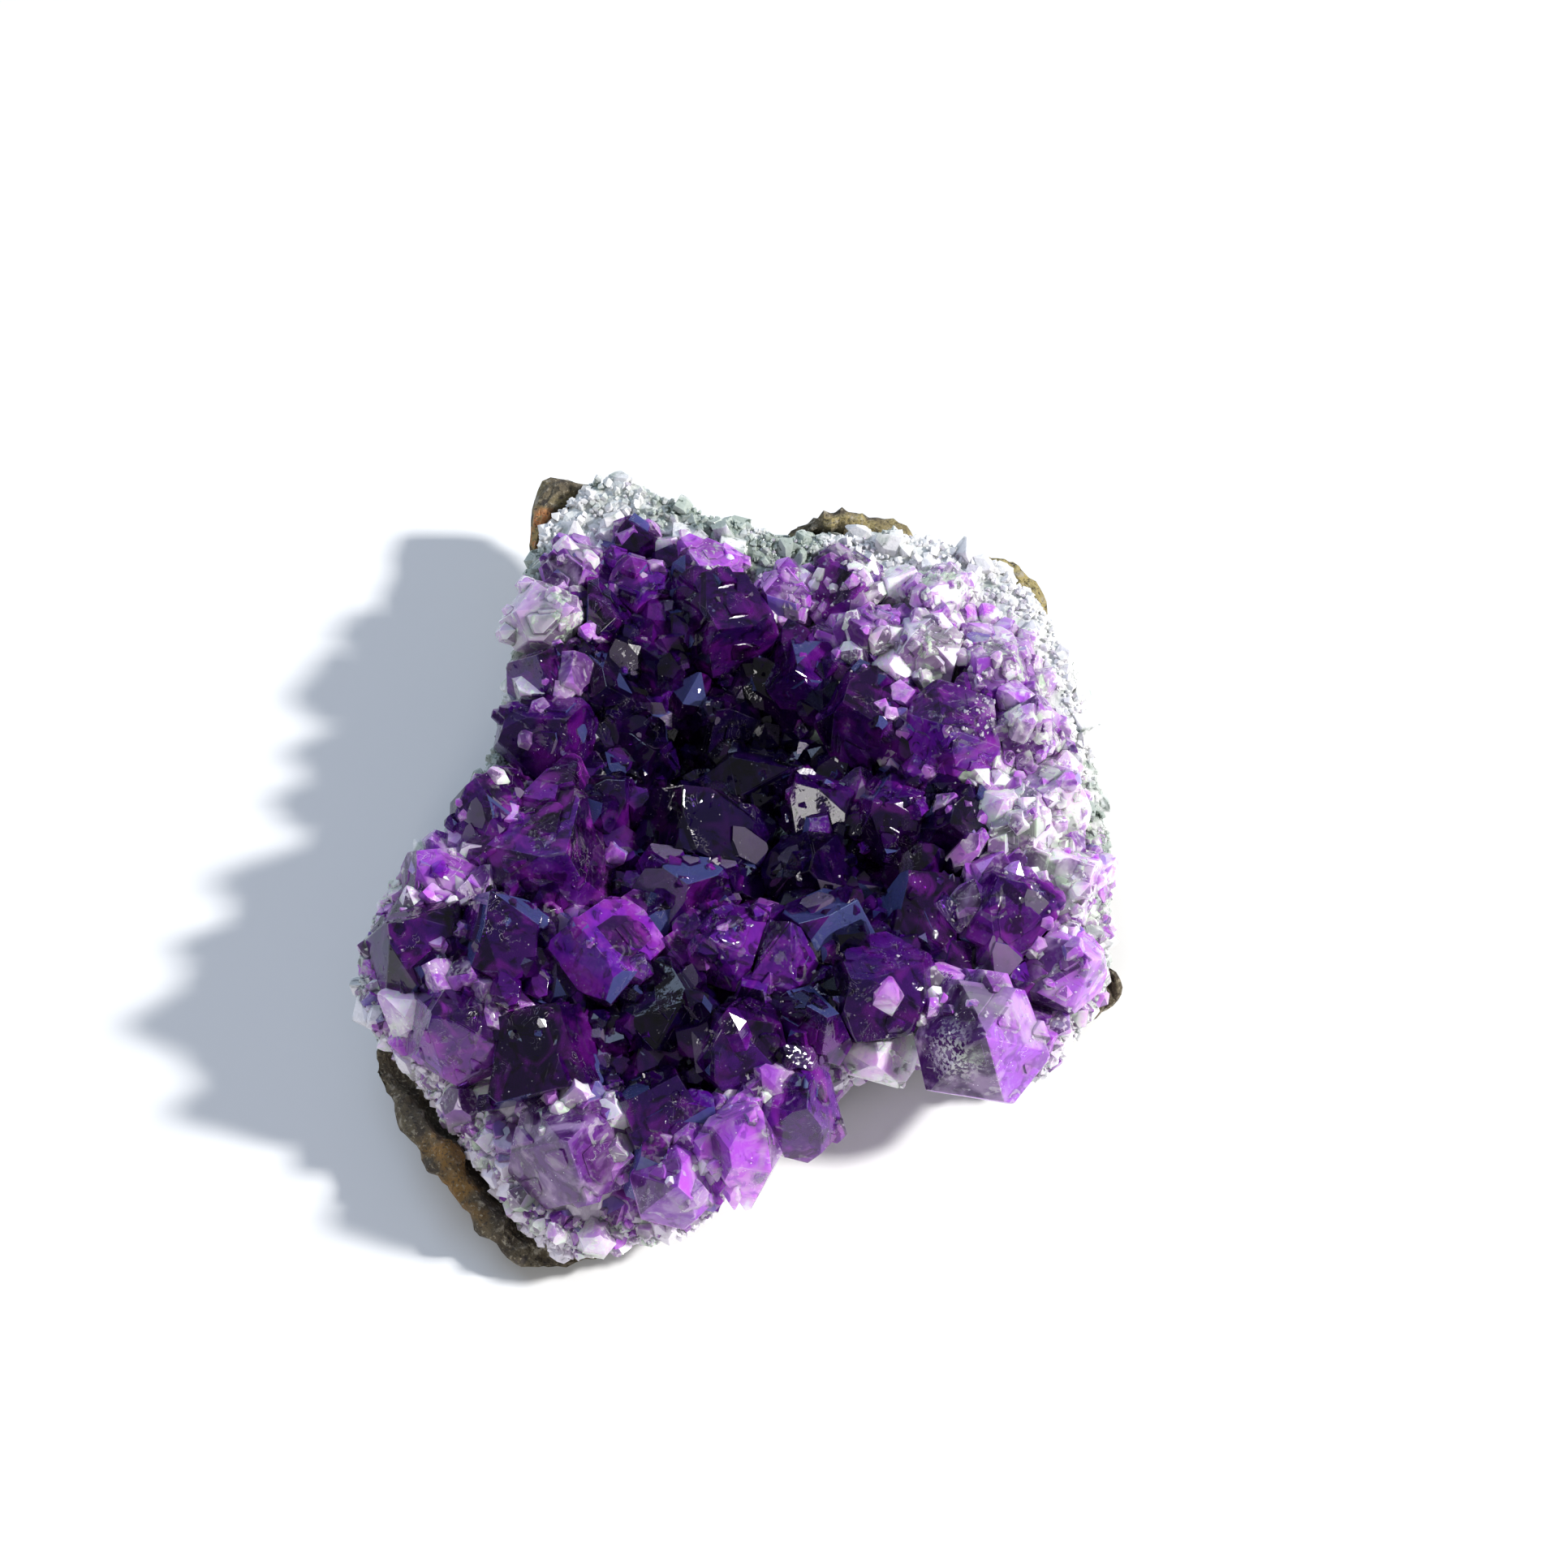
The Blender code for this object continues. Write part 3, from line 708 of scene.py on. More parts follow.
AMETHYSTS = {
    # the darkest tone, for the crystals in the hollow: deep violet, darkened further as painted
    # shade
    Tone.INK: Amethyst(
        slot=Tone.INK,
        foot=tint(0.045, 0.004, 0.15),
        body=tint(0.018, 0.002, 0.085),
        tip=tint(0.009, 0.0015, 0.055),
        lit=tint(0.11, 0.007, 0.24),
        clear=0.80, veils=0.35, gloss=0.02, milk=0.0, glow=0.5,
    ),
    Tone.DEEP: Amethyst(
        slot=Tone.DEEP,
        foot=tint(0.16, 0.016, 0.31),
        body=tint(0.066, 0.004, 0.175),
        tip=tint(0.028, 0.002, 0.11),
        lit=tint(0.27, 0.013, 0.44),
        clear=0.68, veils=0.4, gloss=0.025, milk=0.1, glow=0.75,
    ),
    Tone.ROYAL: Amethyst(
        slot=Tone.ROYAL,
        foot=tint(0.40, 0.12, 0.58),
        body=tint(0.17, 0.012, 0.36),
        tip=tint(0.065, 0.004, 0.21),
        lit=tint(0.46, 0.04, 0.66),
        clear=0.58, veils=0.5, gloss=0.03, milk=0.25, glow=0.8, frost=0.15, white_chips=0.15,
    ),
    Tone.LILAC: Amethyst(
        slot=Tone.LILAC,
        foot=tint(0.85, 0.70, 0.95),
        body=tint(0.53, 0.23, 0.77),
        tip=tint(0.36, 0.08, 0.64),
        lit=tint(0.82, 0.60, 0.95),
        clear=0.3, veils=0.8, gloss=0.035, milk=0.6, glow=0.5, dark=0.6, frost=0.3,
        white_chips=0.35, richer=0.45, broken=0.55, painted_reflection=0.6,
    ),
    Tone.PALE: Amethyst(
        slot=Tone.PALE,
        foot=tint(0.97, 0.94, 0.98),
        body=tint(0.90, 0.78, 0.96),
        tip=tint(0.66, 0.42, 0.84),
        lit=tint(0.98, 0.96, 0.98),
        clear=0.15, veils=0.9, gloss=0.05, milk=0.7, glow=0.6, dark=0.8, frost=0.8,
        white_chips=0.8, richer=0.3, broken=0.4, painted_reflection=0.15,
    ),
}


@dataclass(frozen=True)
class GreyQuartz:
    """Sugary quartz, white with grey-green patches."""

    name: str
    white: Colour
    green: Colour
    dark: Colour
    whitest: Place = (0.032, 0.030, 0.018)  # the back right is white
    lump: Place = (-0.019, 0.047, 0.020)  # and so is a lump at the back left

    def material(self) -> bpy.types.Material:
        """White and grey-green by region, with dark flecks, and a breath of violet in front."""
        w = Wiring(self.name)
        right = w.rise(w.away(self.whitest), 10 * MM, 34 * MM, 0.17, -0.09)
        left = w.rise(w.away(self.lump), 4 * MM, 13 * MM, 0.16, 0)
        front = w.rise(w.depth(), -40 * MM, -5 * MM, 0.28, 0)
        patch = w.rise(w.plus(w.noise(4 * MM, 3.0, 0.5), right, left, front), 0.40, 0.60)
        colour = w.mix(patch, self.green, self.white)
        fleck = w.rise(w.noise(1.3 * MM, 2.0, 1.0), 0.57, 0.66)
        colour = w.mix(w.times(fleck, w.math("SUBTRACT", 1.15, patch)), colour, self.dark)
        colour = w.mix(w.times(front, 2.5), colour, tint(0.86, 0.77, 0.92))
        w.shade(
            Base_Color=colour,
            Roughness=w.rise(w.noise(0.8 * MM), 0.4, 0.6, 0.18, 0.5),
            Normal=w.bump(w.noise(0.5 * MM, 3.0), 0.15 * MM, 0.8),
            IOR=1.544,
            Subsurface_Weight=0.3,
            Subsurface_Scale=1.2 * MM,
            Subsurface_Radius=(1.0, 1.0, 1.0),
        )
        return w.material


@dataclass(frozen=True)
class Glint:
    """Clean, nearly colourless quartz."""

    def material(self) -> bpy.types.Material:
        """Clear white with a breath of violet."""
        w = Wiring("clear_glint")
        colour = w.mix(w.noise(6 * MM), tint(0.80, 0.70, 0.88), tint(0.95, 0.94, 0.97))
        w.shade(Base_Color=colour, Roughness=0.06, IOR=1.544, Transmission_Weight=0.55)
        return w.material


@dataclass(frozen=True)
class Basalt:
    """Weathered brown rock with olive, gold and orange patches."""

    orange_at: Place
    gold_at: Place

    def near(self, w: Wiring, centre: Place, reach: float) -> Socket:
        """1 close to a place, 0 further than reach from it."""
        return w.rise(w.away(centre), 0.5 * reach, reach, 1, 0)

    def material(self) -> bpy.types.Material:
        """Brown mottling, olive at the back, with an orange and a gold patch, grit and pits."""
        w = Wiring("basalt")
        wide, fine = w.noise(6 * MM, 4.0, 0.6), w.noise(1.4 * MM, 4.0, 0.4)
        brown, light = tint(0.050, 0.036, 0.022), tint(0.13, 0.105, 0.062)
        colour = w.mix(w.rise(wide, 0.35, 0.65), brown, light)
        olive = w.times(w.rise(w.depth(), 0, 40 * MM), w.rise(w.noise(9 * MM, 2.0), 0.40, 0.55))
        colour = w.mix(olive, colour, tint(0.33, 0.27, 0.11))
        colour = w.mix(w.rise(fine, 0.56, 0.72), colour, tint(0.30, 0.27, 0.21))
        colour = w.mix(w.rise(fine, 0.42, 0.3), colour, tint(0.045, 0.035, 0.028))
        orange = w.times(self.near(w, self.orange_at, 3.6 * MM), w.rise(fine, 0.35, 0.55))
        colour = w.mix(orange, colour, tint(0.50, 0.20, 0.07))
        gold = w.times(self.near(w, self.gold_at, 8 * MM), w.rise(wide, 0.42, 0.6))
        colour = w.mix(gold, colour, tint(0.20, 0.105, 0.022))
        grit = w.noise(0.4 * MM, 3.0)
        colour = w.mix(w.rise(grit, 0.58, 0.68, 0, 0.7), colour, tint(0.34, 0.30, 0.22))
        colour = w.mix(w.rise(grit, 0.44, 0.34, 0, 0.8), colour, tint(0.035, 0.028, 0.022))
        rough = w.bump(grit, 0.3 * MM, 0.9, w.bump(fine, 0.5 * MM, 0.9))
        w.shade(Base_Color=colour, Roughness=0.78, Normal=rough)
        return w.material


# ---------------------------------------------------------------- the sub-assemblies


def settle(piece: bpy.types.Object, finish: bpy.types.Material, slot: str, *nodes: str) -> None:
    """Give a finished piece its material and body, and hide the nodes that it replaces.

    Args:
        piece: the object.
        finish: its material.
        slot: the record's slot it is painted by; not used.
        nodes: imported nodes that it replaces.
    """
    piece.data.materials.append(finish)
    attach(piece, "root")
    if nodes:
        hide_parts(*nodes)
    log.info("%s: %d faces", piece.name, len(piece.data.polygons))


@dataclass
class MainCrystals:
    """The large crystals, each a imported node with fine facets."""

    ground: Ground
    finishes: dict[Tone, bpy.types.Material]
    tones: dict[str, Tone]
    facets: Facets = Facets((0.4, 0.68, 0.86, 0.955, 1.0), 5, 0.05 * MM, 0.02 * MM, 2 * MM)
    step_facets: Facets = Facets((0.95, 1.0), 1, 0.03 * MM)
    steps: int = 5  # low growth steps on each crystal
    tips: int = 8  # small parallel tips on each crystal
    frosted_at: Place = (0.0255, -0.0290, 0.0212)  # a frosted patch on the largest one

    def build(self) -> None:
        """Make every crystal's piece."""
        for number, (name, tone) in enumerate(self.tones.items()):
            solid = Solid.of_node(frame["nodes"][name])
            skin = joined([self.facets.skin(solid, number + 1), self.growths(solid, number + 1)])
            foot, axis, length = self.stand(solid)
            along = (skin.points - foot) @ axis
            skin.on_points["along"] = along
            skin.on_points["rise"] = along / length
            skin.on_points["own"] = np.full(len(skin.points), (number * 0.618) % 1)
            skin.on_points["large"] = np.ones(len(skin.points))
            skin.on_points["washed"] = self.ground.washed(skin.points)
            away = np.linalg.norm(skin.points - self.frosted_at, axis=1)
            skin.on_points["frosted"] = np.clip(1.6 - away / (2.6 * MM), 0, 1)
            piece = skin.built("facets_" + name)
            piece.data.shade_smooth()
            piece.data.set_sharp_from_angle(angle=math.radians(14))
            settle(piece, self.finishes[tone], tone.value, name)

    def growths(self, solid: Solid, seed: int) -> Skin:
        """Smaller crystals that grew on this one, parallel to it.

        Each is the crystal itself, shrunk. Some are shrunk towards a place on an upper face and
        moved out along that face's normal, which gives low steps. The others have their tip just
        above a place on an upper face, which gives small tips like the main one.
        """
        rng = np.random.default_rng(seed)
        skin = self.step_facets.skin(solid, seed)
        rings = [solid.corners[f] for f in solid.faces]
        arms = [ring - ring.mean(0) for ring in rings]
        normals = unit(np.array([np.cross(a, np.roll(a, -1, 0)).sum(0) for a in arms]))
        upper = [k for k, n in enumerate(normals) if n[2] > 0.1]
        chosen = rng.choice(upper, self.steps + self.tips)
        mixes = [rng.dirichlet(np.full(len(rings[k]), 0.7)) for k in chosen]
        spots = np.array([m @ rings[k] for m, k in zip(mixes, chosen)])
        low = np.arange(len(chosen)) < self.steps
        count = len(chosen)
        scales = np.where(low, rng.uniform(0.25, 0.6, count), rng.uniform(0.2, 0.5, count))
        lifts = (0.04 + 0.3 * rng.uniform(size=count) ** 2.5) * MM
        foot, axis, length = self.stand(solid)
        top = foot + axis * length
        over = rng.uniform(0.02, 0.2, count) * length * scales
        scales = np.where(self.ground.share(spots) > 0.9, 0.6, 1.0) * scales
        steps = spots * (1 - scales)[:, None] + normals[chosen] * lifts[:, None]
        tips = spots + axis * over[:, None] - top * scales[:, None]
        places = np.where(low[:, None], steps, tips)
        grown = skin.repeated(np.eye(3)[None] * scales[:, None, None], places)
        luck = np.where(low, 0.08, 0.2) * rng.uniform(size=count)
        offsets = [np.repeat(luck, len(f)) for f in (skin.quads, skin.tris)]
        grown.on_faces["chance"] = (grown.on_faces["chance"] + np.concatenate(offsets)) % 1
        return grown

    def stand(self, solid: Solid) -> tuple[Array, Array, float]:
        """A crystal's foot, its axis and its length, from its lowest face and its far end."""
        middles = np.array([solid.corners[f].mean(0) for f in solid.faces])
        foot = middles[np.argmin(middles[:, 2])]
        top = solid.corners[np.argmax(solid.corners[:, 2])]
        length = float(np.linalg.norm(top - foot))
        return foot, (top - foot) / length, length


class Sprout(NamedTuple):
    """A small crystal: where its tip is, and how it stands."""

    tip: Array
    axis: Array
    width: float
    turn: float
    tone: Tone
    reach: float  # how far back from its tip it may go


@dataclass
class YoungCrystals:
    """The small crystals in the gaps, on the flanks and along the edge."""

    ground: Ground
    finishes: dict[Tone, bpy.types.Material]
    tones: dict[str, Tone]
    seed: int = 71
    pitch: float = 1.5 * MM  # spacing of the places that are tried from above
    fringe_tries: int = 13000  # places that are tried on the broken side

    def build(self) -> None:
        """Grow the crystals and make one piece for each tone."""
        rng = np.random.default_rng(self.seed)
        grown = {tone: [] for tone in Tone}
        templates = [hexagonal(rng, stout) for stout in np.linspace(1.1, 2.3, 12)]
        skins = [solid.plain(300 + k) for k, solid in enumerate(templates)]
        for sprout in self.sprouts(rng):
            grown[sprout.tone].append(sprout)
        for tone, sprouts in grown.items():
            if sprouts:
                skin = joined(self.planted(sprouts, skins, rng))
                piece = skin.built("young_" + tone.value)
                settle(piece, self.finishes[tone], tone.value)

    def sprouts(self, rng: np.random.Generator) -> list[Sprout]:
        """Choose where crystals grow: in valleys between the main ones, and over the open bed."""
        low, high = self.ground.low, self.ground.high
        xs = np.arange(low[0], high[0], self.pitch)
        ys = np.arange(low[1], high[1], self.pitch)
        grid = np.stack(np.meshgrid(xs, ys), -1).reshape(-1, 2)
        grid = grid + rng.uniform(-0.5, 0.5, grid.shape) * self.pitch
        grid = np.append(grid, np.zeros((len(grid), 1)), 1)
        shares = self.ground.share(grid)
        found = []
        pales, bares = self.ground.paleness(grid), self.ground.bareness(grid)
        for (x, y), share, pale, bare in zip(grid[:, :2], shares, pales, bares):
            hit = self.ground.look(x, y)
            floor = self.ground.bed(x, y)
            draws = rng.uniform(size=8)
            if hit is None or floor is None or share > 0.985:
                continue
            ring = [self.ground.look(x + dx, y + dy) for dx, dy in AROUND]
            heights = [h.place[2] if h else 0.0 for h in ring]
            valley = np.mean(heights) - hit.place[2]
            open_bed = hit.node == BED
            rider = 0.05 if hit.node in self.large else 0.2
            druse = np.clip((pale - 0.66) / 0.16, 0, 1) * np.clip((pale - share) / 0.15, 0, 1)
            rider += 0.6 * druse * (hit.node not in self.large)
            if not open_bed and valley < 0.6 * MM and draws[0] > rider:
                continue
            if bare > 0 and draws[0] > 0.45 - 9 * bare:
                continue
            found.append(self.sprout(hit, share, valley, pale, draws))
        return found + self.fringe(rng)

    @functools.cached_property
    def large(self) -> set[str]:
        """The largest main crystals, whose faces stay mostly clean."""
        spans = {n: (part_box(n)[1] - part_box(n)[0]).length for n in self.tones}
        return set(sorted(spans, key=spans.get)[-12:])

    @functools.cached_property
    def middles(self) -> dict[str, Array]:
        """Each main crystal's middle, seen from above."""
        boxes = {name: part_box(name) for name in self.tones}
        return {n: np.array((low + high) / 2)[:2] for n, (low, high) in boxes.items()}

    def sprout(self, hit: Hit, share: float, valley: float, pale: float, draws: Array) -> Sprout:
        """One crystal's place, size, lean and tone."""
        x, y, _ = hit.place
        outward = unit(np.array([x, y, 0.0]))
        edge = max(0.0, share - 0.8) / 0.2
        lean = hit.normal * (0.6 if hit.node != BED else 0.15) + outward * 0.6 * edge
        lean = lean + np.array([0, 0, 1.0]) + (draws[1:4] - 0.5) * [1.5, 1.5, 0.3]
        if hit.node == BED:
            width = (1.6 + 4.2 * draws[4] ** 2.0) * MM * (1.0 - 0.25 * edge)
            show = width * (0.3 + 0.7 * draws[5])
        elif valley > 0.6 * MM:
            width = (1.8 + 5.0 * draws[4] ** 1.8) * MM
            show = min(0.75 * valley, 2.0 * width) + (0.1 + 0.4 * draws[5]) * width
        else:
            width = (1.2 + 2.6 * draws[4] ** 2.0) * MM
            show = (0.1 + 0.4 * draws[5]) * width
        axis = unit(lean)
        tip = hit.place + axis * show
        room = self.ground.room(tip, axis) - 0.6 * MM
        width = min(width, max(0.8 * MM, room / 1.55))
        reach = max(room - 0.5 * width, show + 0.3 * MM)
        if share > 0.88:
            reach = min(reach, show + 0.7 * width)
        reach = max(reach, 1.05 * width)
        tone = self.tone_at(hit, pale, draws[7])
        return Sprout(tip, axis, width, draws[6] * math.tau, tone, reach)

    def fringe(self, rng: np.random.Generator) -> list[Sprout]:
        """Crystals that stand out sideways from the bed's broken side, except along the back."""
        node = frame["nodes"][BED]
        places, normals = scattered(node, self.fringe_tries, rng)
        shares, bare = self.ground.share(places), self.ground.bareness(places)
        tops = np.array([self.ground.bed(*place[:2] * 0.97) or 0.0 for place in places])
        front = np.maximum(-places[:, 1], -0.5 * places[:, 0])
        front = np.clip(front / (20 * MM), 0, 1)
        wanted = (shares > 0.94) & (normals[:, 2] > -0.35) & (bare < 0.0)
        wanted &= places[:, 2] > (0.66 - 0.26 * front) * tops
        found = []
        for place, normal in zip(places[wanted], normals[wanted]):
            draws = rng.uniform(size=7)
            axis = unit(normal * 0.9 + [0, 0, 0.5] + (draws[:3] - 0.5) * 1.1)
            width = (1.1 + 2.2 * draws[3] ** 2.0) * MM
            show = width * (0.15 + 0.45 * draws[4])
            tone = Tone.PALE if draws[5] > 0.4 else Tone.LILAC
            turn, reach = draws[6] * math.tau, show + 0.9 * width
            found.append(Sprout(place + axis * show, axis, width, turn, tone, reach))
        return found

    def tone_at(self, hit: Hit, pale: float, draw: float) -> Tone:
        """The tone that suits a place: its neighbours' tone, paler towards the edge."""
        order = list(Tone)
        if hit.node in self.tones:
            step = order.index(self.tones[hit.node])
        else:
            near = min(self.middles, key=lambda n: np.hypot(*(self.middles[n] - hit.place[:2])))
            step = order.index(self.tones[near])
        if pale > 0.94:
            step = 3 + (draw > 0.4)
        elif pale > 0.85:
            step = max(step, 3) + (draw > 0.75)
        elif pale > 0.72 and draw > 0.4:
            step = max(step + 1, 3)
        elif draw > 0.8:
            step += 1
        elif draw < 0.2:
            step -= 1
        return order[min(4, max(0, int(step)))]

    def planted(
        self, sprouts: list[Sprout], skins: list[Skin], rng: np.random.Generator
    ) -> list[Skin]:
        """Copies of the template crystals, scaled and turned to stand where the sprouts say.

        A copy that would reach too far back is cut short: its foot's points move up the axis.
        """
        out = []
        choice = rng.integers(0, len(skins), len(sprouts))
        for number, template in enumerate(skins):
            mine = [s for s, c in zip(sprouts, choice) if c == number]
            if not mine:
                continue
            axes = np.array([s.axis for s in mine])
            widths = np.array([s.width for s in mine])
            turns = np.array([s.turn for s in mine])
            tips = np.array([s.tip for s in mine])
            height = template.points[:, 2].max()
            places = tips - axes * (widths * height)[:, None]
            matrices = frames_along(axes, turns) * widths[:, None, None]
            skin = template.repeated(matrices, places)
            size = len(template.points)
            back = (height - template.points[:, 2]) * widths[:, None]
            short = np.maximum(0, back - np.array([s.reach for s in mine])[:, None])
            skin.points = skin.points + (short[..., None] * axes[:, None]).reshape(-1, 3)
            along = np.tile(template.points[:, 2], len(mine)) * np.repeat(widths, size)
            skin.on_points["along"] = along
            skin.on_points["rise"] = np.tile(template.points[:, 2] / height, len(mine))
            skin.on_points["own"] = np.repeat(rng.uniform(size=len(mine)), size)
            skin.on_points["large"] = np.zeros(len(skin.points))
            skin.on_points["washed"] = self.ground.washed(skin.points)
            skin.on_points["frosted"] = np.zeros(len(skin.points))
            luck = rng.uniform(size=len(mine))
            offsets = [np.repeat(luck, len(f)) for f in (template.quads, template.tris)]
            skin.on_faces["chance"] = (skin.on_faces["chance"] + np.concatenate(offsets)) % 1
            out.append(skin)
        return out


@dataclass
class QuartzRim:
    """The quartz bed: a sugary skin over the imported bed, and loose grains on its edge."""

    ground: Ground
    finish: bpy.types.Material
    grain_finish: bpy.types.Material
    glint_finish: bpy.types.Material
    seed: int = 19
    grain_count: int = 10000
    glint_tries: int = 60000

    def build(self) -> None:
        """Make the bed's fine surface and the grains."""
        bed = refined(frame["nodes"][BED], "sugar_bed", 2, self.ruffle)
        settle(bed, self.finish, "grey_quartz", BED)
        settle(self.grains(self.grain_count), self.grain_finish, "grey_quartz")
        settle(self.glints(self.glint_tries), self.glint_finish, "amethyst_pale")

    def ruffle(self, points: Array, normals: Array) -> Array:
        """Moved points: layers of unevenness, from 3 mm down to 0.7 mm, fading out underneath."""
        lift = 0.45 * swell(points, 3 * MM, 5) + 0.28 * swell(points, 1.3 * MM, 6)
        lift = lift + 0.2 * swell(points, 0.7 * MM, 7, 16)
        open_side = np.clip((normals[:, 2] + 0.8) / 0.4, 0, 1)
        lift = lift * open_side - 0.5 * (1 - open_side)
        return points + normals * (lift * 0.7 * MM)[:, None]

    def grains(self, count: int) -> bpy.types.Object:
        """Grains of quartz over the broken side and the band along the back."""
        rng = np.random.default_rng(self.seed)
        places, normals = scattered(frame["nodes"][BED], count * 3, rng)
        bare = self.ground.bareness(places)
        wanted = ((bare > -0.02) | (self.ground.share(places) > 0.95)) & (normals[:, 2] > -0.6)
        places, normals = places[wanted][:count], normals[wanted][:count]
        sizes = (0.35 + 0.8 * rng.uniform(size=len(places)) ** 2.6) * MM
        chunk = rng.uniform(size=len(places)) < 0.03
        sizes = np.where(chunk, sizes + rng.uniform(0.8, 2.2, len(places)) * MM, sizes)
        return self.strewn("sugar_grains", places, normals, sizes, 6, rng)

    def glints(self, count: int) -> bpy.types.Object:
        """Tiny clear grains on the crystals: many where they are pale, few where they are dark."""
        rng = np.random.default_rng(self.seed + 1)
        spots = rng.uniform(self.ground.low, self.ground.high, (count, 3))
        pale = np.clip((self.ground.paleness(spots) - 0.80) / 0.2, 0, 1)
        chance = 0.004 + 0.5 * pale * self.ground.rightness(spots)
        nest = np.clip(0.2 + 1.2 * swell(spots * [1, 1, 0], 6 * MM, 41), 0, 1)
        spots = spots[rng.uniform(size=count) < chance * nest]
        hits = [self.ground.look(x, y) for x, y, _ in spots]
        hits = [hit for hit in hits if hit and hit.node != CRUST]
        places = np.array([hit.place for hit in hits])
        normals = np.array([hit.normal for hit in hits])
        sizes = (0.12 + 0.45 * rng.uniform(size=len(places)) ** 3.0) * MM
        return self.strewn("clear_glints", places, normals, sizes, 3, rng)

    def strewn(
        self,
        name: str,
        places: Array,
        normals: Array,
        sizes: Array,
        planes: int,
        rng: np.random.Generator,
    ) -> bpy.types.Object:
        """Shards of the given sizes, half sunk into the surface at the given places."""
        shards = [shard(rng, planes).plain(900 + k) for k in range(10)]
        choice = rng.integers(0, len(shards), len(places))
        axes = unit(normals + rng.normal(size=places.shape) * 0.5)
        turns = rng.uniform(0, math.tau, len(places))
        matrices = frames_along(axes, turns) * sizes[:, None, None]
        mine = [choice == k for k in range(len(shards))]
        skins = [s.repeated(matrices[m], places[m]) for s, m in zip(shards, mine)]
        return joined(skins).built(name)


def scattered(node: bpy.types.Object, count: int, rng: np.random.Generator) -> tuple[Array, Array]:
    """Random places on a node's surface, evenly spread by area, and the normals there."""
    mesh = node.data
    mesh.calc_loop_triangles()
    corners = np.zeros(len(mesh.loop_triangles) * 3, int)
    mesh.loop_triangles.foreach_get("vertices", corners)
    points = np.zeros(len(mesh.vertices) * 3)
    mesh.vertices.foreach_get("co", points)
    a, b, c = points.reshape(-1, 3)[corners.reshape(-1, 3)].transpose(1, 0, 2)
    area = np.cross(b - a, c - a)
    size = np.linalg.norm(area, axis=1)
    pick = rng.choice(len(size), count, p=size / size.sum())
    s, t = rng.uniform(size=(2, count, 1))
    fold = s + t > 1
    s, t = np.where(fold, 1 - s, s), np.where(fold, 1 - t, t)
    places = a[pick] + s * (b - a)[pick] + t * (c - a)[pick]
    return places, unit(area[pick])


def refined(
    node: bpy.types.Object, name: str, levels: int, move: Callable[[Array, Array], Array]
) -> bpy.types.Object:
    """A finer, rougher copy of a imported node.

    Args:
        node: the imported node; it stays as it is.
        name: the new piece's name.
        levels: how often each face is split.
        move: gives the moved points, from the points and their normals.

    Returns:
        The new piece.
    """
    mesh = bmesh.new()
    mesh.from_mesh(node.data)
    bmesh.ops.remove_doubles(mesh, verts=mesh.verts, dist=2e-6)
    bmesh.ops.join_triangles(
        mesh, faces=mesh.faces, angle_face_threshold=3.1, angle_shape_threshold=3.1
    )
    data = bpy.data.meshes.new(name)
    mesh.to_mesh(data)
    mesh.free()
    rough = bpy.data.objects.new(name, data)
    bpy.context.scene.collection.objects.link(rough)
    split = rough.modifiers.new("split", "SUBSURF")
    split.levels = split.render_levels = levels
    bpy.context.view_layer.update()
    graph = bpy.context.evaluated_depsgraph_get()
    fine = bpy.data.meshes.new_from_object(rough.evaluated_get(graph))
    rough.modifiers.clear()
    rough.data = fine
    bpy.data.meshes.remove(data)
    fine.name = name
    points, normals = np.zeros((2, len(fine.vertices) * 3))
    fine.vertices.foreach_get("co", points)
    fine.vertex_normals.foreach_get("vector", normals)
    moved = move(points.reshape(-1, 3), normals.reshape(-1, 3))
    fine.vertices.foreach_set("co", moved.ravel())
    fine.update()
    return rough


@dataclass
class Crust:
    """The basalt crust under the bed."""

    finish: bpy.types.Material

    def build(self) -> None:
        """Make the rock's fine surface."""
        rock = refined(frame["nodes"][CRUST], "basalt_rock", 2, self.weather)
        settle(rock, self.finish, "basalt", CRUST)

    def weather(self, points: Array, normals: Array) -> Array:
        """Moved points: broken, layered rock, but flat where it rests."""
        broken = np.round(swell(points, 6 * MM, 31) * 2.5) / 2.5
        lift = 0.7 * broken - 0.6 * np.abs(swell(points, 3.2 * MM, 32)) + 0.3
        lift = lift + 0.22 * swell(points, 0.9 * MM, 33, 16)
        lift = np.maximum(lift, -0.4)
        grounded = np.clip(points[:, 2] / (1.5 * MM), 0, 1)
        moved = points + normals * (lift * 0.9 * MM * grounded)[:, None]
        moved[:, 2] = np.maximum(moved[:, 2], 0)
        return moved


# ---------------------------------------------------------------- the stage


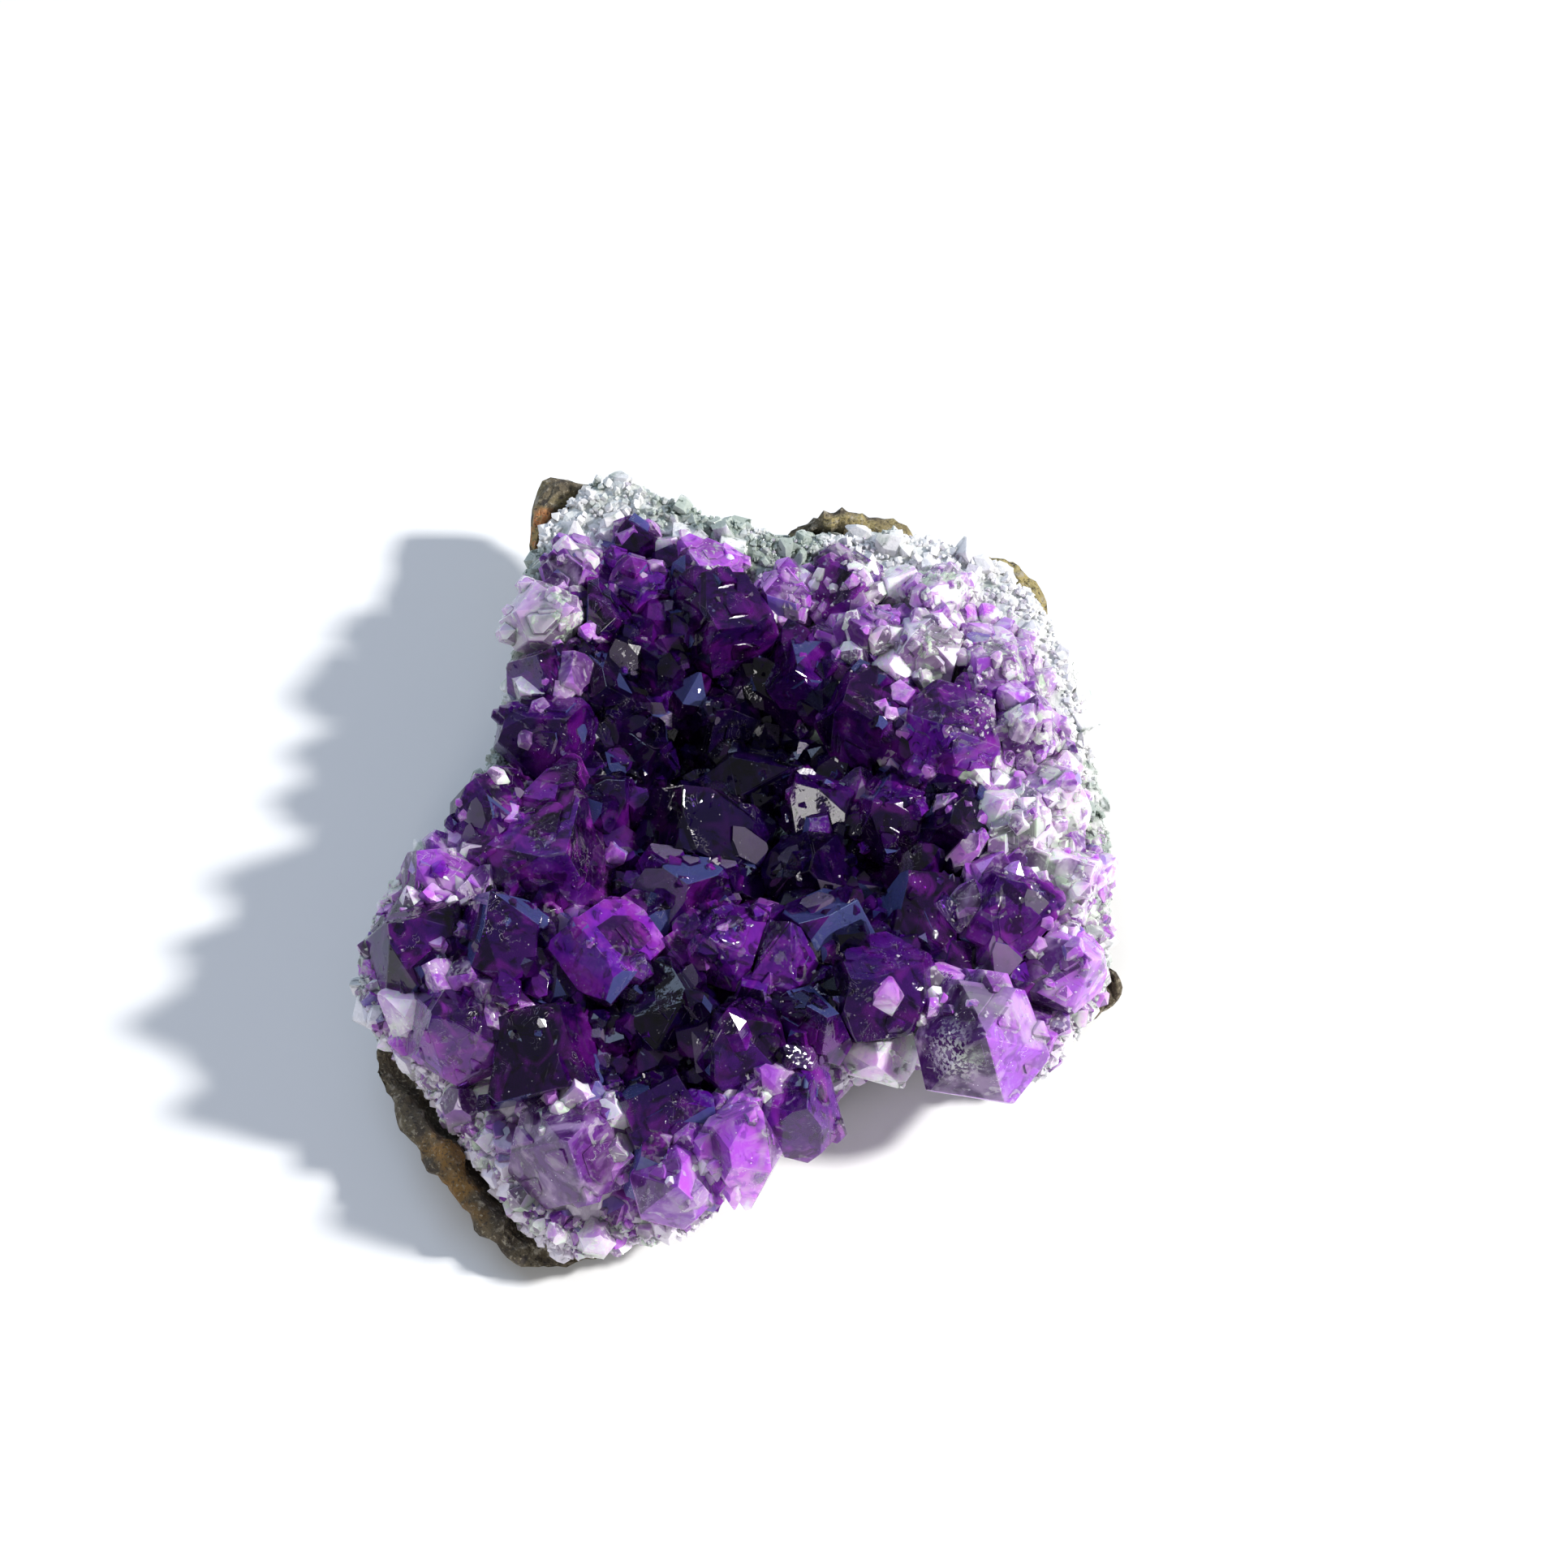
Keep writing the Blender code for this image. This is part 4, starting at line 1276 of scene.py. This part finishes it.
@dataclass(frozen=True)
class Stage:
    """A pale floor, soft lights and the camera."""

    elevation: float = 64.0
    distance: float = 0.553
    lens: float = 104.0
    shift: tuple[float, float] = (0.0265, 0.0447)

    def build(self) -> None:
        """Lay the floor, hang the lights and set the camera."""
        self.floor()
        self.lamp("key", (1.02, 0.04, 0.80), 0.12, 24.0, (1.0, 0.98, 0.95))
        self.lamp("sky", (-0.62, 0.80, 1.10), 1.0, 9.0, (0.55, 0.72, 1.0))
        self.lamp("fill", (-0.5, -1.2, 0.9), 0.5, 6.0, (1.0, 0.98, 0.96))
        world = bpy.data.worlds.new("studio")
        world.use_nodes = True
        background = world.node_tree.nodes["Background"]
        background.inputs[0].default_value = (0.96, 0.97, 1.0, 1)
        background.inputs[1].default_value = 0.2
        bpy.context.scene.world = world
        bpy.context.scene.view_settings.view_transform = "Standard"
        self.camera()

    def floor(self) -> None:
        """A plain pale floor."""
        data = bpy.data.meshes.new("floor")
        data.from_pydata([(-2, -2, 0), (2, -2, 0), (2, 2, 0), (-2, 2, 0)], [], [(0, 1, 2, 3)])
        floor = bpy.data.objects.new("floor", data)
        bpy.context.scene.collection.objects.link(floor)
        w = Wiring("pale_floor")
        grain = w.bump(w.noise(4 * MM), 0.02 * MM)
        w.shade(Base_Color=tint(0.84, 0.85, 0.86), Roughness=0.7, Normal=grain)
        data.materials.append(w.material)

    def lamp(
        self, name: str, at: Place, size: float, power: float, colour: tuple[float, float, float]
    ) -> None:
        """A square softbox that faces the object."""
        light = bpy.data.lights.new(name, "AREA")
        light.shape, light.size, light.energy, light.color = "SQUARE", size, power, colour
        lamp = bpy.data.objects.new(name, light)
        lamp.location = at
        lamp.rotation_euler = Vector(at).to_track_quat("Z", "Y").to_euler()
        bpy.context.scene.collection.objects.link(lamp)

    def camera(self) -> None:
        """A long lens that looks down from the front."""
        view = bpy.data.cameras.new("camera")
        view.lens, view.sensor_width, view.clip_start = self.lens, 36, 0.01
        view.shift_x, view.shift_y = self.shift
        rise = math.radians(self.elevation)
        back = Vector((0, -math.cos(rise), math.sin(rise)))
        camera = bpy.data.objects.new("camera", view)
        camera.location = Vector((0, 0, 15 * MM)) + back * self.distance
        camera.rotation_euler = back.to_track_quat("Z", "Y").to_euler()
        bpy.context.scene.collection.objects.link(camera)
        bpy.context.scene.camera = camera


def main() -> None:
    """Build the cluster from the crust upwards, then the stage."""
    logging.basicConfig(level=logging.INFO, format="%(name)s: %(message)s")
    slots = {s["node"]: s["material_slot"] for s in frame["record"]["subparts"]}
    tones = {n: Tone(slot) for n, slot in sorted(slots.items()) if n.startswith("crystal_")}
    ground = Ground(frame["nodes"])
    finishes = {tone: finish.material() for tone, finish in AMETHYSTS.items()}
    quartz = GreyQuartz(
        "grey_quartz", tint(0.66, 0.68, 0.67), tint(0.24, 0.29, 0.25), tint(0.05, 0.065, 0.055)
    )
    grains = GreyQuartz(
        "white_sugar", tint(0.80, 0.80, 0.81), tint(0.38, 0.44, 0.40), tint(0.08, 0.11, 0.09)
    )
    Crust(Basalt((-0.0254, 0.0462, 0.0140), (-0.0342, -0.0400, 0.0090)).material()).build()
    QuartzRim(ground, quartz.material(), grains.material(), Glint().material()).build()
    MainCrystals(ground, finishes, tones).build()
    YoungCrystals(ground, finishes, tones).build()
    Stage().build()


if __name__ == "__main__":
    main()
